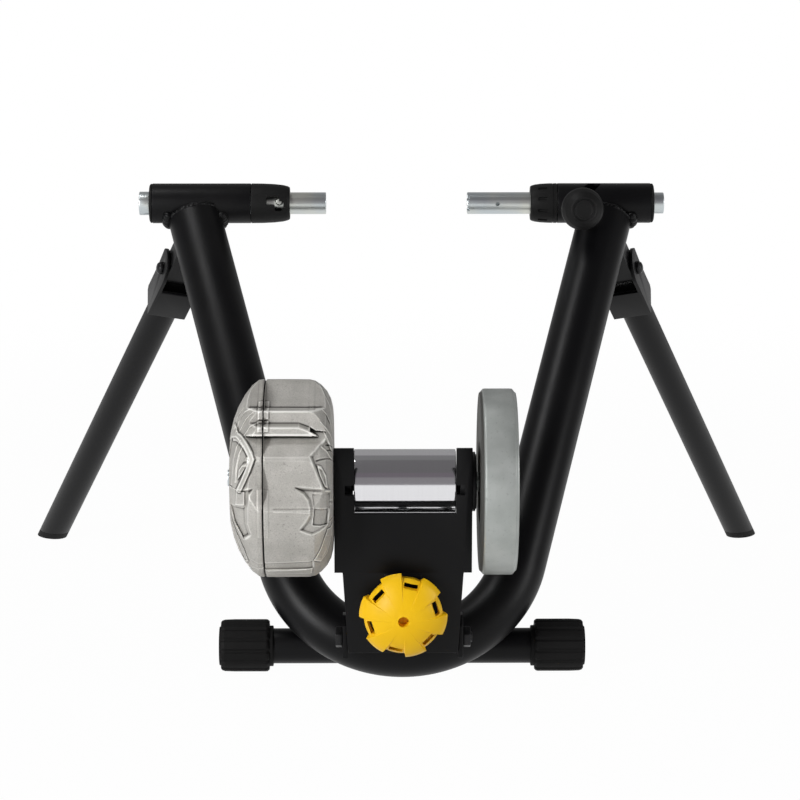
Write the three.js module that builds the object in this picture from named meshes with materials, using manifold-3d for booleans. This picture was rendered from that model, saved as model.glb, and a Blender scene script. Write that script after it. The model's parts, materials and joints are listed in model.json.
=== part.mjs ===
// A fluid bike trainer: a U-shaped tube frame that stands on a crossbar and two folding rear legs.
// It holds the ends of a bicycle's rear axle between two spindles, and presses a roller with a
// flywheel and a fluid brake against the tyre. Millimetres, +Z up. The tyre is on the +Y side of the
// roller, and the adjuster's knob faces -Y.
import * as THREE from 'three';
import { mergeVertices } from 'three/addons/utils/BufferGeometryUtils.js';
import Module from 'manifold-3d';

const wasm = await Module();
wasm.setup();

// Clearances
const seatGap = 0.3;
const runningGap = 0.4;
const bearingGap = 0.15;
const cutOverrun = 6;
const weldTolerance = 0.0001;

// Main tube, bent to a U that leans back from the crossbar
const mainTubeOd = 50.8;
const mainTubeWall = 1.8;
const mainBendRadius = 108.4;
const armSplayDeg = 14.3;
const bendSetForward = 40;
const bendLift = 6.9;
const armEndTrim = 17;

// Axle clamps
const clampAxisSetback = 220;
const clampAxisHeight = 406;
const clampTubeOd = 38.1;
const clampTubeWall = 2.2;
const leftClampInward = 57.7;
const leftClampOutward = 39.3;
const rightClampInward = 49.7;
const rightClampOutward = 42.6;
const leftNoseLength = 37.4;
const leftNoseTipOd = 30.4;
const rightNoseLength = 25.9;
const rightNoseTipOd = 32;
const leftNoseSpigot = 14;
const rightNoseSpigot = 6;
const gripSlotCount = 10;
const gripSlotWidth = 3.2;
const gripSlotDepth = 2.4;
const gripSlotLength = 9;
const gripSlotInset = 7;
const bushFlangeThickness = 2.5;
const bushSpigotLength = 16;
const noseTaperShares = [[0, 1], [0.3, 0.97], [0.6, 0.84], [0.82, 0.6], [0.94, 0.32], [1, 0]];

// Spindles that hold the ends of the wheel's axle
const spindleOd = 20.9;
const leftSpindleTip = 70.9;
const rightSpindleTip = 64.5;
const spindleTailLength = 9.6;
const leftTailOd = 22.4;
const rightTailOd = 20.2;
const axleCupOd = 15;
const axleCupDepth = 9;
const castellationCount = 6;
const castellationWidth = 3.4;
const castellationDepth = 2.2;
const crossHoleOd = 3;
const crossHoleFromTip = 29;

// Locating pin of the left spindle, in a slot of its nose collar
const locatingPinOd = 7;
const locatingPinFromNoseEnd = 10;
const locatingPinAngleDeg = 12;
const leftSpindleTravel = 12;
const slotWidth = 8.4;
const lockLegLength = 9;

// Lever of the right spindle
const leverFromClampInner = 16.1;
const leverRodOd = 9;
const leverSlantDeg = 4;
const leverTurnDeg = 75;
const rightSpindleTravel = 18;
const leverSlotWidth = 11.4;
const leverSlotSteps = 7;
const leverCollarLength = 17;
const leverReach = 60;
const knobBallOd = 40.4;
const knobBallLength = 32;
const leverRodInKnob = 10.7;
const leverSocketDepth = 4.4;
const knobBallShares = [[0, 0.42], [0.1, 0.5], [0.24, 0.8], [0.4, 0.96], [0.5, 1], [0.62, 0.97], [0.78, 0.86],
  [0.92, 0.66], [0.94, 0.52], [0.88, 0.3], [0.86, 0]];

// Crossbar and levelling boots
const crossbarOd = 31.75;
const crossbarWall = 2;
const crossbarLength = 322;
const bootOd = 47.6;
const bootLength = 49;
const bootEndWall = 4.5;
const bootEccentricity = 2.3;
const bootRingOd = 36.8;
const bootRingLength = 3.5;
const bootEndDiscOd = 35;
const bootEndDiscLength = 1.5;
const bootGripCount = 14;
const bootGripDepth = 1.5;
const bootGripShare = 0.34;
const bootLandShares = [0, 0.5, 1];

// Folding rear legs
const hingeBelowClamp = 46.55;
const hingeStandoff = 50.49;
const hingeOutward = 23.25;
const footHalfSpread = 383;
const footSetback = 618.6;
const legOd = 30;
const legWall = 2;
const legStart = 22;
const footPadHeight = 7;
const footSpigotLength = 22;
const yokePlate = 3.5;
const yokeLength = 55;
const yokeHeadLength = 20;
const yokeWebStart = 15;
const yokeBackReach = 14;
const lugHalfHeight = 12;
const lugLength = 45;
const lugPlate = 4;
const hingeBoltOd = 8;
const hingeHeadOd = 13;
const hingeHeadThickness = 5;
const hingeNutFlats = 13;
const hingeNutThickness = 6.5;
const hingeBoltTail = 2;
const boltHeadShares = [[0, 0], [0, 1], [0.45, 0.96], [0.85, 0.7], [1, 0.4], [1, 0]];
const cheekArcEndShare = 0.93;

// Pivot of the roller unit, on ears in front of the bend
const pivotSetForward = 75;
const pivotHeight = 50;
const unitLeanDeg = 6;
const earInner = 48.3;
const earThickness = 4.5;
const earFront = 14;
const earTop = 21;
const earBottom = 16;
const earTopLength = 20;
const earBack = 32;
const pivotBoltOd = 10;
const pivotHeadOd = 17;
const pivotHeadThickness = 6;
const pivotNutFlats = 17;
const pivotNutThickness = 6.5;
const pivotBoltTail = 1.5;
const pivotSleeveOd = 16;

// Roller bracket, folded from plate
const plate = 4;
const plateFront = 24.2;
const bracketTop = 179;
const bracketStep = 67.2;
const bracketBottom = 6.5;
const wideHalfWidth = 59.7;
const stepHalfWidth = 52.6;
const bottomHalfWidth = 47.8;
const notchBottom = 120.8;
const notchWidth = 88;
const sideSlotHeight = 9;
const sideSlotLength = 8;
const sideSlotRise = 6.5;
const flangeArcRadius = 33;
const lowerFlangeDepth = 16.2;
const pivotLobeRadius = 12.5;
const screwSlotHeight = 18;
const screwSlotWidth = 12.6;
const padWidth = 32;
const padTop = 66;
const padBottom = 8;
const padThickness = 1;

// Roller, shaft and flywheel
const rollerSetback = 9.7;
const rollerRise = 139.8;
const rollerOd = 57;
const rollerLength = 88.5;
const rollerShift = 1.65;
const rollerWall = 4;
const rollerRecess = 30;
const rollerHubOd = 30;
const shaftOd = 17;
const shaftThreadOd = 12;
const flywheelOd = 162.4;
const flywheelClearance = 6.8;
const flywheelWidth = 31.7;
const flywheelCorner = 3;
const flywheelCornerShares = [0, 0.5, 1];
const hubRecessOd = 70;
const hubRecessDepth = 8;
const webRecessOd = 128;
const webHubOd = 60;
const webRecessDepth = 6;
const flywheelSeatDepth = 14;
const washerOd = 28;
const washerThickness = 2.5;
const flywheelNutFlats = 19;
const flywheelNutThickness = 7;
const shaftTail = 1.5;

// Bearings, bearing cup and shaft seal
const bearingOd = 40;
const bearingWidth = 12;
const cupWall = 4;
const cupSetIn = 10.2;
const cupLip = 2;
const cupFlangeOd = 52;
const cupFlangeThickness = 3;
const leftBearingSetIn = 5.7;
const sealOd = 30;
const sealWidth = 7;
const bossClearOd = 42;

// Fluid brake: two cast halves round an impeller, set a little above the roller's axis.
// Each corner of its front is given by how far up and how far out it lies from the middle.
const seamFromFace = 59.5;
const casingLeanDeg = 15;
const casingFront = [
  [-26, 81.9], [-9, 79], [18.3, 85], [37.1, 66.2], [37.1, 74], [44.4, 74], [48.3, 63.8], [58.3, 63.3],
  [60.4, 52], [61.4, 46.6], [86.6, 10]];
const gasketThickness = 1.2;
const gasketGap = 0.25;
const gasketInset = 1.5;
const housingOd = 172;
const housingRise = 3.5;
const housingRimInset = 14;
const chamberRimWall = 15;
const innerChamferFromFace = 21;
const innerMidStepIn = 10;
const innerMidFromFace = 6;
const innerFaceStepIn = 28;
const chamberFromFace = 24;
const outerShoulderFromSeam = 19.5;
const outerShoulderStepIn = 13.5;
const outerEdgeFromSeam = 27.5;
const outerEdgeStepIn = 28;
const outerFaceFromSeam = 30.5;
const outerFaceStepIn = 42;
const outerWall = 7;
const impellerRoom = 3;
const impellerDisc = 3;
const impellerVaneDepth = 12;
const impellerVaneCount = 10;
const impellerVaneThickness = 3;
const impellerHubOd = 30;
const impellerSetIn = 10;
const screwCircleStepIn = 10;
const caseScrewOd = 5;
const caseScrewHeadOd = 8.5;
const caseScrewHeadHeight = 5;
const caseScrewCount = 4;
const caseScrewReach = 12;
const caseScrewPhaseShare = 0.7;
const screwBossOd = 13;
const screwBossFromSeam = 8;
const plugOd = 15;
const plugHead = 2.4;
const plugShankOd = 10;
const plugSocketFlats = 6;
const plugSocketDepth = 1.5;
const mountScrewOd = 6;
const mountScrewCircleOd = 56;
const mountScrewHeadOd = 10;
const mountScrewHeadHeight = 4;
const mountScrewReach = 8;
const mountScrewCount = 3;
const mountScrewPhaseShare = 0;

// Adjuster
const screwHeight = 34;
const screwOd = 10;
const screwTip = 8;
const washerSeatGap = 0.9;
const thrustOd = 24;
const thrustThickness = 5;
const thrustCrown = 2;
const thrustFlatOd = 12.4;
const knobDepth = 28;
const knobLobeRadius = 38.4;
const knobBodyRadius = 34;
const knobLobeCount = 6;
const knobLobeShare = 0.5;
const knobPhaseDeg = 47.7;
const knobDomeRise = 12;
const knobDomeShares = [0, 0.4, 0.75, 0.93, 1];
const knobWall = 4;
const knobSlotRadius = 29;
const knobSlotLength = 12;
const knobSlotWidth = 4.2;
const knobValleyShare = 0.5;
const knobHubOd = 22;
const knobEyeOd = 8;
const knobEyeDepth = 7;
const anchorHalfWidth = 20;
const anchorPlate = 5;
const anchorFront = 10;
const anchorBottom = 14;
const anchorTop = 46;
const anchorShelf = 4;
const anchorBack = 38;
const anchorFoot = 6;
const gussetPlate = 4;
const adjusterNutFlats = 17;
const adjusterNutThickness = 8;

// Facets
const tubeSides = 22;
const smallSides = 10;
const fineSides = 30;
const knobArcSides = 2;
const bendSteps = 12;

// Places that follow from the sizes
const thrustSeat = plateFront + padThickness + washerSeatGap;
const knobRear = thrustSeat + thrustThickness + seatGap;
const rad = THREE.MathUtils.degToRad;
const bootAxisHeight = bootOd / 2;
const bendLow = new THREE.Vector3(0, -bendSetForward, bootAxisHeight + bendLift);
const clampAxis = new THREE.Vector3(0, clampAxisSetback, clampAxisHeight);
const planeUp = clampAxis.clone().sub(bendLow).normalize();
const planeHeight = clampAxis.distanceTo(bendLow);
const splay = rad(armSplayDeg);
const armBottomX = mainBendRadius * Math.cos(splay);
const armBottomRise = mainBendRadius * (1 - Math.sin(splay));
const armCrossing = armBottomX + (planeHeight - armBottomRise) * Math.tan(splay);
const leftClampInner = armCrossing - leftClampInward;
const leftClampOuter = armCrossing + leftClampOutward;
const leftNoseEnd = leftClampInner - leftNoseLength;
const rightClampInner = armCrossing - rightClampInward;
const rightClampOuter = armCrossing + rightClampOutward;
const rightNoseEnd = rightClampInner - rightNoseLength;
const leverAxialPlace = rightClampInner + leverFromClampInner;
const bootEndFromMiddle = crossbarLength / 2 + bootEndWall;
const flywheelLeft = wideHalfWidth + flywheelClearance;
const cupLeft = wideHalfWidth - cupSetIn;
const leftBearingEnd = wideHalfWidth - leftBearingSetIn;
const housingMountFace = wideHalfWidth + seatGap;
const innerMidPlace = housingMountFace + innerMidFromFace;
const innerChamferStart = housingMountFace + innerChamferFromFace;
const chamberInnerWall = housingMountFace + chamberFromFace;
const housingSeam = housingMountFace + seamFromFace;
const outerShoulderPlace = housingSeam + outerShoulderFromSeam;
const outerEdgePlace = housingSeam + outerEdgeFromSeam;
const outerFacePlace = housingSeam + outerFaceFromSeam;
const screwBossPlace = housingSeam + screwBossFromSeam;
const chamberOd = housingOd - 2 * chamberRimWall;
const innerMidOd = housingOd - 2 * innerMidStepIn;
const innerFaceOd = housingOd - 2 * innerFaceStepIn;
const outerShoulderOd = housingOd - 2 * outerShoulderStepIn;
const outerEdgeOd = housingOd - 2 * outerEdgeStepIn;
const outerFaceOd = housingOd - 2 * outerFaceStepIn;
const impellerOd = chamberOd - 2 * (impellerRoom + housingRise);
const screwCircleOd = housingOd - 2 * screwCircleStepIn;
const pivot = new THREE.Vector3(0, -pivotSetForward, pivotHeight);
const spindleRadius = spindleOd / 2;
const clampBore = clampTubeOd / 2 - clampTubeWall;

const sides = [
  { name: 'left', sign: -1 },
  { name: 'right', sign: 1 },
];

// Finishes
const paint = { color: 0x161617, roughness: 0.5, metalness: 0.0 };
const blackPlastic = { color: 0x1b1b1c, roughness: 0.55, metalness: 0.0 };
const rubber = { color: 0x1a1a1a, roughness: 0.75, metalness: 0.0 };
const zinc = { color: 0xb9bdbc, roughness: 0.32, metalness: 0.9 };
const chrome = { color: 0xd6d6d8, roughness: 0.1, metalness: 1.0 };
const steel = { color: 0x9a9c9c, roughness: 0.4, metalness: 0.85 };
const castAlloy = { color: 0xb9b6af, roughness: 0.6, metalness: 0.55 };
const blackOxide = { color: 0x1f1f20, roughness: 0.45, metalness: 0.7 };
const yellowPlastic = { color: 0xf9c80e, roughness: 0.4, metalness: 0.0 };

// Solids from geometries, and back
function weld(geometry) {
  const bare = geometry.index ? geometry.toNonIndexed() : geometry.clone();
  bare.deleteAttribute('normal');
  bare.deleteAttribute('uv');
  const merged = mergeVertices(bare, weldTolerance);
  const corners = merged.index.array;
  const kept = [];
  for (let i = 0; i < corners.length; i += 3) {
    const [a, b, c] = [corners[i], corners[i + 1], corners[i + 2]];
    if (a !== b && b !== c && c !== a) kept.push(a, b, c);
  }
  if (signedVolume(merged.attributes.position, kept) < 0) kept.reverse();
  merged.setIndex(kept);
  return merged;
}

function signedVolume(position, corners) {
  const [a, b, c] = [new THREE.Vector3(), new THREE.Vector3(), new THREE.Vector3()];
  let volume = 0;
  for (let i = 0; i < corners.length; i += 3) {
    a.fromBufferAttribute(position, corners[i]);
    b.fromBufferAttribute(position, corners[i + 1]);
    c.fromBufferAttribute(position, corners[i + 2]);
    volume += a.dot(b.cross(c)) / 6;
  }
  return volume;
}

function solid(geometry) {
  const welded = weld(geometry);
  const mesh = new wasm.Mesh({
    numProp: 3,
    vertProperties: new Float32Array(welded.attributes.position.array),
    triVerts: new Uint32Array(welded.index.array),
  });
  return new wasm.Manifold(mesh);
}

function surface(body) {
  const mesh = body.getMesh();
  const geometry = new THREE.BufferGeometry();
  geometry.setAttribute('position', new THREE.BufferAttribute(new Float32Array(mesh.vertProperties), 3));
  geometry.setIndex(new THREE.BufferAttribute(new Uint32Array(mesh.triVerts), 1));
  geometry.computeVertexNormals();
  return geometry;
}

function join(first, ...others) {
  return others.reduce((body, other) => body.add(other), first);
}

function cut(first, ...others) {
  return others.reduce((body, other) => body.subtract(other), first);
}

// A turned piece along X, from a profile of [x, radius] corners
function turnedX(profile, segments = tubeSides) {
  const points = profile.map(([x, radius]) => new THREE.Vector2(radius, x));
  return solid(new THREE.LatheGeometry(points, segments).rotateZ(-Math.PI / 2));
}

function rodX(x0, x1, radius, segments = smallSides) {
  const [low, high] = [Math.min(x0, x1), Math.max(x0, x1)];
  return turnedX([[low, 0], [low, radius], [high, radius], [high, 0]], segments);
}

function tubeX(x0, x1, outer, inner, segments = tubeSides) {
  const [low, high] = [Math.min(x0, x1), Math.max(x0, x1)];
  return turnedX([[low, inner], [low, outer], [high, outer], [high, inner], [low, inner]], segments);
}

function moved(body, x, y, z) {
  return body.translate([x, y, z]);
}

// Turns a piece made along X so that it lies along the given direction
function aimed(body, direction) {
  const turn = new THREE.Quaternion().setFromUnitVectors(new THREE.Vector3(1, 0, 0), direction);
  return transformed(body, new THREE.Matrix4().makeRotationFromQuaternion(turn));
}

function transformed(body, matrix) {
  return body.transform(matrix.elements);
}

function block(x0, x1, y0, y1, z0, z1) {
  const box = new THREE.BoxGeometry(x1 - x0, y1 - y0, z1 - z0);
  return solid(box.translate((x0 + x1) / 2, (y0 + y1) / 2, (z0 + z1) / 2));
}

function outline(points) {
  return new THREE.Shape(points.map(([u, v]) => new THREE.Vector2(u, v)));
}

function extruded(shape, depth, segments = smallSides) {
  return new THREE.ExtrudeGeometry(shape, { depth, bevelEnabled: false, curveSegments: segments });
}

// A plate square to X: its shape is drawn in Y and Z
function plateX(shape, x0, x1, segments) {
  const axes = new THREE.Matrix4().makeBasis(
    new THREE.Vector3(0, 1, 0), new THREE.Vector3(0, 0, 1), new THREE.Vector3(1, 0, 0));
  const low = Math.min(x0, x1);
  return solid(extruded(shape, Math.abs(x1 - x0), segments).applyMatrix4(axes).translate(low, 0, 0));
}

// A plate square to Y: its shape is drawn in X and Z
function plateY(shape, y0, y1, segments) {
  const axes = new THREE.Matrix4().makeBasis(
    new THREE.Vector3(1, 0, 0), new THREE.Vector3(0, 0, 1), new THREE.Vector3(0, -1, 0));
  const high = Math.max(y0, y1);
  return solid(extruded(shape, Math.abs(y1 - y0), segments).applyMatrix4(axes).translate(0, high, 0));
}

function hexX(x0, x1, flats) {
  const corner = flats / Math.sqrt(3);
  return rodX(x0, x1, corner, 6);
}

function hexNutX(x0, x1, flats, boreRadius) {
  const [low, high] = [Math.min(x0, x1), Math.max(x0, x1)];
  return cut(hexX(low, high, flats), rodX(low - cutOverrun, high + cutOverrun, boreRadius));
}

// The assembly
const trainer = new THREE.Group();

function add(parent, name, body, finish) {
  const material = new THREE.MeshStandardMaterial(finish);
  const mesh = new THREE.Mesh(surface(body), material);
  mesh.name = name;
  parent.add(mesh);
}

// Main tube: straight arms and a round bend, as stations along its centre line
class BentPath extends THREE.Curve {
  constructor(stations) {
    super();
    this.stations = stations;
  }

  station(u) {
    return this.stations[Math.round(u * (this.stations.length - 1))];
  }

  getPointAt(u) {
    return this.station(u).point.clone();
  }

  getTangentAt(u) {
    return this.station(u).tangent.clone();
  }
}

function inPlane(x, rise) {
  return new THREE.Vector3(x, bendLow.y + planeUp.y * rise, bendLow.z + planeUp.z * rise);
}

function bentStations(topTrim) {
  const armEnd = (planeHeight - armBottomRise) / Math.cos(splay) - topTrim;
  const turn = Math.PI / 2 - splay;
  const stations = [];
  const along = (x, rise) => new THREE.Vector3(x, planeUp.y * rise, planeUp.z * rise);
  const armPoint = (sign) => inPlane(
    sign * (armBottomX + armEnd * Math.sin(splay)), armBottomRise + armEnd * Math.cos(splay));
  stations.push({ point: armPoint(-1), tangent: along(Math.sin(splay), -Math.cos(splay)) });
  for (let i = 0; i <= bendSteps; i += 1) {
    const angle = -turn + 2 * turn * i / bendSteps;
    stations.push({
      point: inPlane(mainBendRadius * Math.sin(angle), mainBendRadius * (1 - Math.cos(angle))),
      tangent: along(Math.cos(angle), Math.sin(angle)),
    });
  }
  stations.push({ point: armPoint(1), tangent: along(Math.sin(splay), Math.cos(splay)) });
  return stations;
}

function ringShape(outer, inner) {
  const shape = new THREE.Shape();
  shape.absarc(0, 0, outer, 0, 2 * Math.PI, false);
  if (inner > 0) {
    const hole = new THREE.Path();
    hole.absarc(0, 0, inner, 0, 2 * Math.PI, true);
    shape.holes.push(hole);
  }
  return shape;
}

function bentTube(outer, inner, topTrim) {
  const stations = bentStations(topTrim);
  return solid(new THREE.ExtrudeGeometry(ringShape(outer, inner), {
    steps: stations.length - 1,
    extrudePath: new BentPath(stations),
    curveSegments: tubeSides / 2,
  }));
}

const mainEnvelope = bentTube(mainTubeOd / 2 + seatGap, 0, 0);
const clampEnvelope = moved(
  rodX(-leftClampOuter, rightClampOuter, clampTubeOd / 2 + seatGap, tubeSides), 0, clampAxis.y, clampAxis.z);

function buildMainTube() {
  const tube = bentTube(mainTubeOd / 2, mainTubeOd / 2 - mainTubeWall, armEndTrim);
  add(trainer, 'main_tube', cut(tube, clampEnvelope), paint);
}

function buildCrossbar() {
  const half = crossbarLength / 2;
  const bar = moved(tubeX(-half, half, crossbarOd / 2, crossbarOd / 2 - crossbarWall), 0, 0, bootAxisHeight);
  add(trainer, 'crossbar', cut(bar, mainEnvelope), paint);
}

// A levelling boot: a cap that sits off-centre on the crossbar, with grip grooves
function bootOutline() {
  const points = [];
  const pitch = 2 * Math.PI / bootGripCount;
  const outer = bootOd / 2;
  for (let i = 0; i < bootGripCount; i += 1) {
    const land = pitch * (1 - bootGripShare);
    const start = i * pitch - Math.PI / 2 - land / 2;
    bootLandShares.forEach((share) => {
      const angle = start + land * share;
      points.push([bootEccentricity + outer * Math.cos(angle), outer * Math.sin(angle)]);
    });
    const groove = start + land + (pitch - land) / 2;
    const deep = outer - bootGripDepth;
    points.push([bootEccentricity + deep * Math.cos(groove), deep * Math.sin(groove)]);
  }
  return outline(points);
}

function buildBoot({ name, sign }) {
  const end = bootEndFromMiddle;
  const bodyEnd = end - bootEndDiscLength;
  const bodyStart = end - bootLength + bootRingLength;
  const body = plateX(bootOutline(), bodyStart, bodyEnd);
  const ring = rodX(end - bootLength, bodyStart + seatGap, bootRingOd / 2, tubeSides);
  const disc = rodX(bodyEnd - seatGap, end, bootEndDiscOd / 2, tubeSides);
  const bore = rodX(end - bootLength - cutOverrun, crossbarLength / 2 + runningGap,
    crossbarOd / 2 + runningGap, tubeSides);
  let boot = cut(join(body, ring, disc), bore);
  if (sign < 0) boot = transformed(boot, new THREE.Matrix4().makeScale(-1, 1, 1));
  add(trainer, `levelling_boot_${name}`, moved(boot, 0, 0, bootAxisHeight), rubber);
}

// Axle clamps
const clampSizes = {
  left: { inner: leftClampInner, outer: leftClampOuter, noseEnd: leftNoseEnd, tipOd: leftNoseTipOd,
    spigotLength: leftNoseSpigot, tip: leftSpindleTip, tailOd: leftTailOd },
  right: { inner: rightClampInner, outer: rightClampOuter, noseEnd: rightNoseEnd, tipOd: rightNoseTipOd,
    spigotLength: rightNoseSpigot, tip: rightSpindleTip, tailOd: rightTailOd },
};

function clampGroup(sign) {
  const group = new THREE.Group();
  group.position.copy(clampAxis);
  if (sign < 0) group.rotation.z = Math.PI;
  trainer.add(group);
  return group;
}

function noseProfile({ inner, noseEnd, tipOd, spigotLength }) {
  const bore = spindleRadius + runningGap;
  const full = clampTubeOd / 2;
  const tip = tipOd / 2;
  const start = inner - seatGap;
  const profile = noseTaperShares.map(([share, riseShare]) => [
    start - (start - noseEnd) * share, tip + (full - tip) * riseShare]);
  const spigot = clampBore - seatGap;
  profile.push([noseEnd, bore], [inner + spigotLength, bore], [inner + spigotLength, spigot],
    [start, spigot], profile[0]);
  return profile;
}

function buildClampTube({ name }, group) {
  const { inner, outer } = clampSizes[name];
  let tube = tubeX(inner, outer - bushFlangeThickness - seatGap, clampTubeOd / 2, clampBore);
  if (name === 'right') tube = cut(tube, leverSlot());
  add(group, `clamp_tube_${name}`, tube, paint);
}

// The slot that the lever turns and travels in: the lever's own path, cut a little wider
function leverSlot() {
  let slot = null;
  for (let i = 0; i <= leverSlotSteps; i += 1) {
    const share = i / leverSlotSteps;
    const angle = -rad(leverTurnDeg) * share;
    const hole = rodX(clampBore / 2, clampTubeOd / 2 + cutOverrun, leverSlotWidth / 2, smallSides);
    const turned = transformed(leverAimed(hole), new THREE.Matrix4().makeRotationX(angle));
    const place = moved(turned, leverAxialPlace + rightSpindleTravel * share, 0, 0);
    slot = slot ? slot.add(place) : place;
  }
  return slot;
}

function leverAimed(body) {
  const slant = rad(leverSlantDeg);
  return aimed(body, new THREE.Vector3(Math.sin(slant), -Math.cos(slant), 0));
}

function buildNose({ name }, group) {
  const sizes = clampSizes[name];
  let nose = turnedX(noseProfile(sizes));
  nose = name === 'left' ? cut(nose, locatingSlot()) : cut(nose, ...gripSlots(sizes));
  add(group, `nose_collar_${name}`, nose, blackPlastic);
}

function gripSlots({ noseEnd }) {
  const start = noseEnd + gripSlotInset;
  return Array.from({ length: gripSlotCount }, (_, i) => {
    const bar = block(start, start + gripSlotLength, -gripSlotWidth / 2, gripSlotWidth / 2,
      clampTubeOd / 2 - gripSlotDepth, clampTubeOd / 2 + cutOverrun);
    const angle = 2 * Math.PI * i / gripSlotCount;
    return transformed(bar, new THREE.Matrix4().makeRotationX(angle));
  });
}

// The left clamp is turned half round Z, so there +X points outwards and +Y at the knob's side
function leftPinTurn() {
  return new THREE.Matrix4().makeRotationX(rad(locatingPinAngleDeg));
}

function locatingSlot() {
  const pinPlace = leftNoseEnd + locatingPinFromNoseEnd;
  const reach = clampTubeOd / 2 + cutOverrun;
  const half = slotWidth / 2;
  const leg = block(pinPlace, pinPlace + leftSpindleTravel, spindleRadius / 2, reach, -half, half);
  const ends = [pinPlace, pinPlace + leftSpindleTravel].map((place) => (
    moved(aimed(rodX(spindleRadius / 2, reach, half), new THREE.Vector3(0, 1, 0)), place, 0, 0)));
  const lock = block(pinPlace - half, pinPlace + half, spindleRadius / 2, reach, -half - lockLegLength / 2, 0);
  return transformed(join(leg, lock, ...ends), leftPinTurn());
}

function buildEndBush({ name }, group) {
  const { outer } = clampSizes[name];
  const bore = spindleRadius + runningGap;
  const flange = outer - bushFlangeThickness;
  const spigot = clampBore - seatGap;
  const bush = turnedX([
    [flange - bushSpigotLength, bore], [flange - bushSpigotLength, spigot], [flange, spigot],
    [flange, clampTubeOd / 2 - seatGap], [outer, clampTubeOd / 2 - bushFlangeThickness / 2],
    [outer, bore], [flange - bushSpigotLength, bore]]);
  add(group, `end_bush_${name}`, bush, blackPlastic);
}

function buildSpindle({ name }, group) {
  const { outer, tip, tailOd } = clampSizes[name];
  const cup = axleCupOd / 2;
  const tail = outer + seatGap;
  let spindle = turnedX([
    [tip + axleCupDepth, 0], [tip + axleCupDepth, cup], [tip, cup], [tip, spindleRadius],
    [tail, spindleRadius], [tail, tailOd / 2], [tail + spindleTailLength, tailOd / 2],
    [tail + spindleTailLength, 0]]);
  if (name === 'right') spindle = cut(spindle, ...castellations(tip), crossHole(tip));
  if (name === 'left') spindle = cut(spindle, pinHole());
  add(group, `spindle_${name}`, spindle, zinc);
}

function castellations(tip) {
  return Array.from({ length: castellationCount }, (_, i) => {
    const bar = block(tip - cutOverrun, tip + castellationDepth, -castellationWidth / 2, castellationWidth / 2,
      axleCupOd / 4, spindleOd);
    return transformed(bar, new THREE.Matrix4().makeRotationX(2 * Math.PI * i / castellationCount));
  });
}

function crossHole(tip) {
  const hole = rodX(spindleRadius / 2, spindleOd, crossHoleOd / 2, smallSides / 2);
  return moved(aimed(hole, new THREE.Vector3(0, -1, 0)), tip + crossHoleFromTip, 0, 0);
}

function pinHole() {
  const hole = rodX(spindleRadius / 2, spindleOd, locatingPinOd / 2 + seatGap);
  const placed = moved(aimed(hole, new THREE.Vector3(0, 1, 0)), leftNoseEnd + locatingPinFromNoseEnd, 0, 0);
  return transformed(placed, leftPinTurn());
}

function buildLocatingPin(group) {
  const end = leftNoseTipOd / 2 + seatGap;
  const pin = rodX(spindleRadius / 2 + seatGap, end, locatingPinOd / 2);
  const placed = moved(aimed(pin, new THREE.Vector3(0, 1, 0)), leftNoseEnd + locatingPinFromNoseEnd, 0, 0);
  add(group, 'locating_pin', transformed(placed, leftPinTurn()), zinc);
}

function buildLever(group) {
  const half = leverCollarLength / 2;
  const socket = leverRodOd / 2 + seatGap;
  const collarOd = 2 * (clampBore - runningGap);
  const collar = moved(tubeX(-half, half, collarOd / 2, spindleRadius + seatGap), leverAxialPlace, 0, 0);
  const rodStart = collarOd / 2 - leverSocketDepth;
  const socketHole = moved(leverAimed(rodX(rodStart - seatGap, collarOd, socket)), leverAxialPlace, 0, 0);
  add(group, 'lever_collar', cut(collar, socketHole), steel);
  const knobBack = leverReach - knobBallLength / 2;
  const rodEnd = knobBack + leverRodInKnob;
  const rod = moved(leverAimed(rodX(rodStart, rodEnd, leverRodOd / 2)), leverAxialPlace, 0, 0);
  add(group, 'lever_rod', rod, zinc);
  const rings = knobBallShares.map(([share, radiusShare]) => [
    knobBack + knobBallLength * share, knobBallOd / 2 * radiusShare]);
  const profile = [[rodEnd + seatGap, 0], [rodEnd + seatGap, socket], [knobBack, socket], ...rings];
  const knob = moved(leverAimed(turnedX(profile)), leverAxialPlace, 0, 0);
  add(group, 'lever_knob', knob, blackPlastic);
}

// Rear legs: in the hinge's own axes X is the hinge, Y is up and back, Z runs down the leg
function hingeFrame(sign) {
  const rise = planeHeight - hingeBelowClamp;
  const armX = armBottomX + (rise - armBottomRise) * Math.tan(splay);
  const standoff = new THREE.Vector3(0, planeUp.z, -planeUp.y).multiplyScalar(hingeStandoff);
  const pin = bendLow.clone().addScaledVector(planeUp, rise).add(standoff);
  pin.x = sign * (armX + hingeOutward);
  const foot = new THREE.Vector3(sign * footHalfSpread, footSetback, 0);
  const down = foot.clone().sub(pin);
  const length = down.length();
  down.normalize();
  const folded = planeUp.clone().negate();
  const axis = down.clone().cross(folded).normalize();
  const back = down.clone().cross(axis);
  const matrix = new THREE.Matrix4().makeBasis(axis, back, down).setPosition(pin);
  return { pin, length, axis, matrix, foldDeg: THREE.MathUtils.radToDeg(down.angleTo(folded)) };
}

function hingeGroup(frame) {
  const group = new THREE.Group();
  group.applyMatrix4(frame.matrix);
  trainer.add(group);
  return group;
}

function legRod(start, end, outer, inner) {
  const rod = inner > 0 ? tubeX(start, end, outer, inner) : rodX(start, end, outer, tubeSides);
  return aimed(rod, new THREE.Vector3(0, 0, 1));
}

// Everything under a level plane, in the hinge's axes
function belowLevel(frame, height) {
  const reach = frame.length;
  const floor = block(-reach, reach, -reach, reach, height - reach, height);
  const under = moved(floor, frame.pin.x, frame.pin.y + frame.length / 2, 0);
  return transformed(under, frame.matrix.clone().invert());
}

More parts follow.
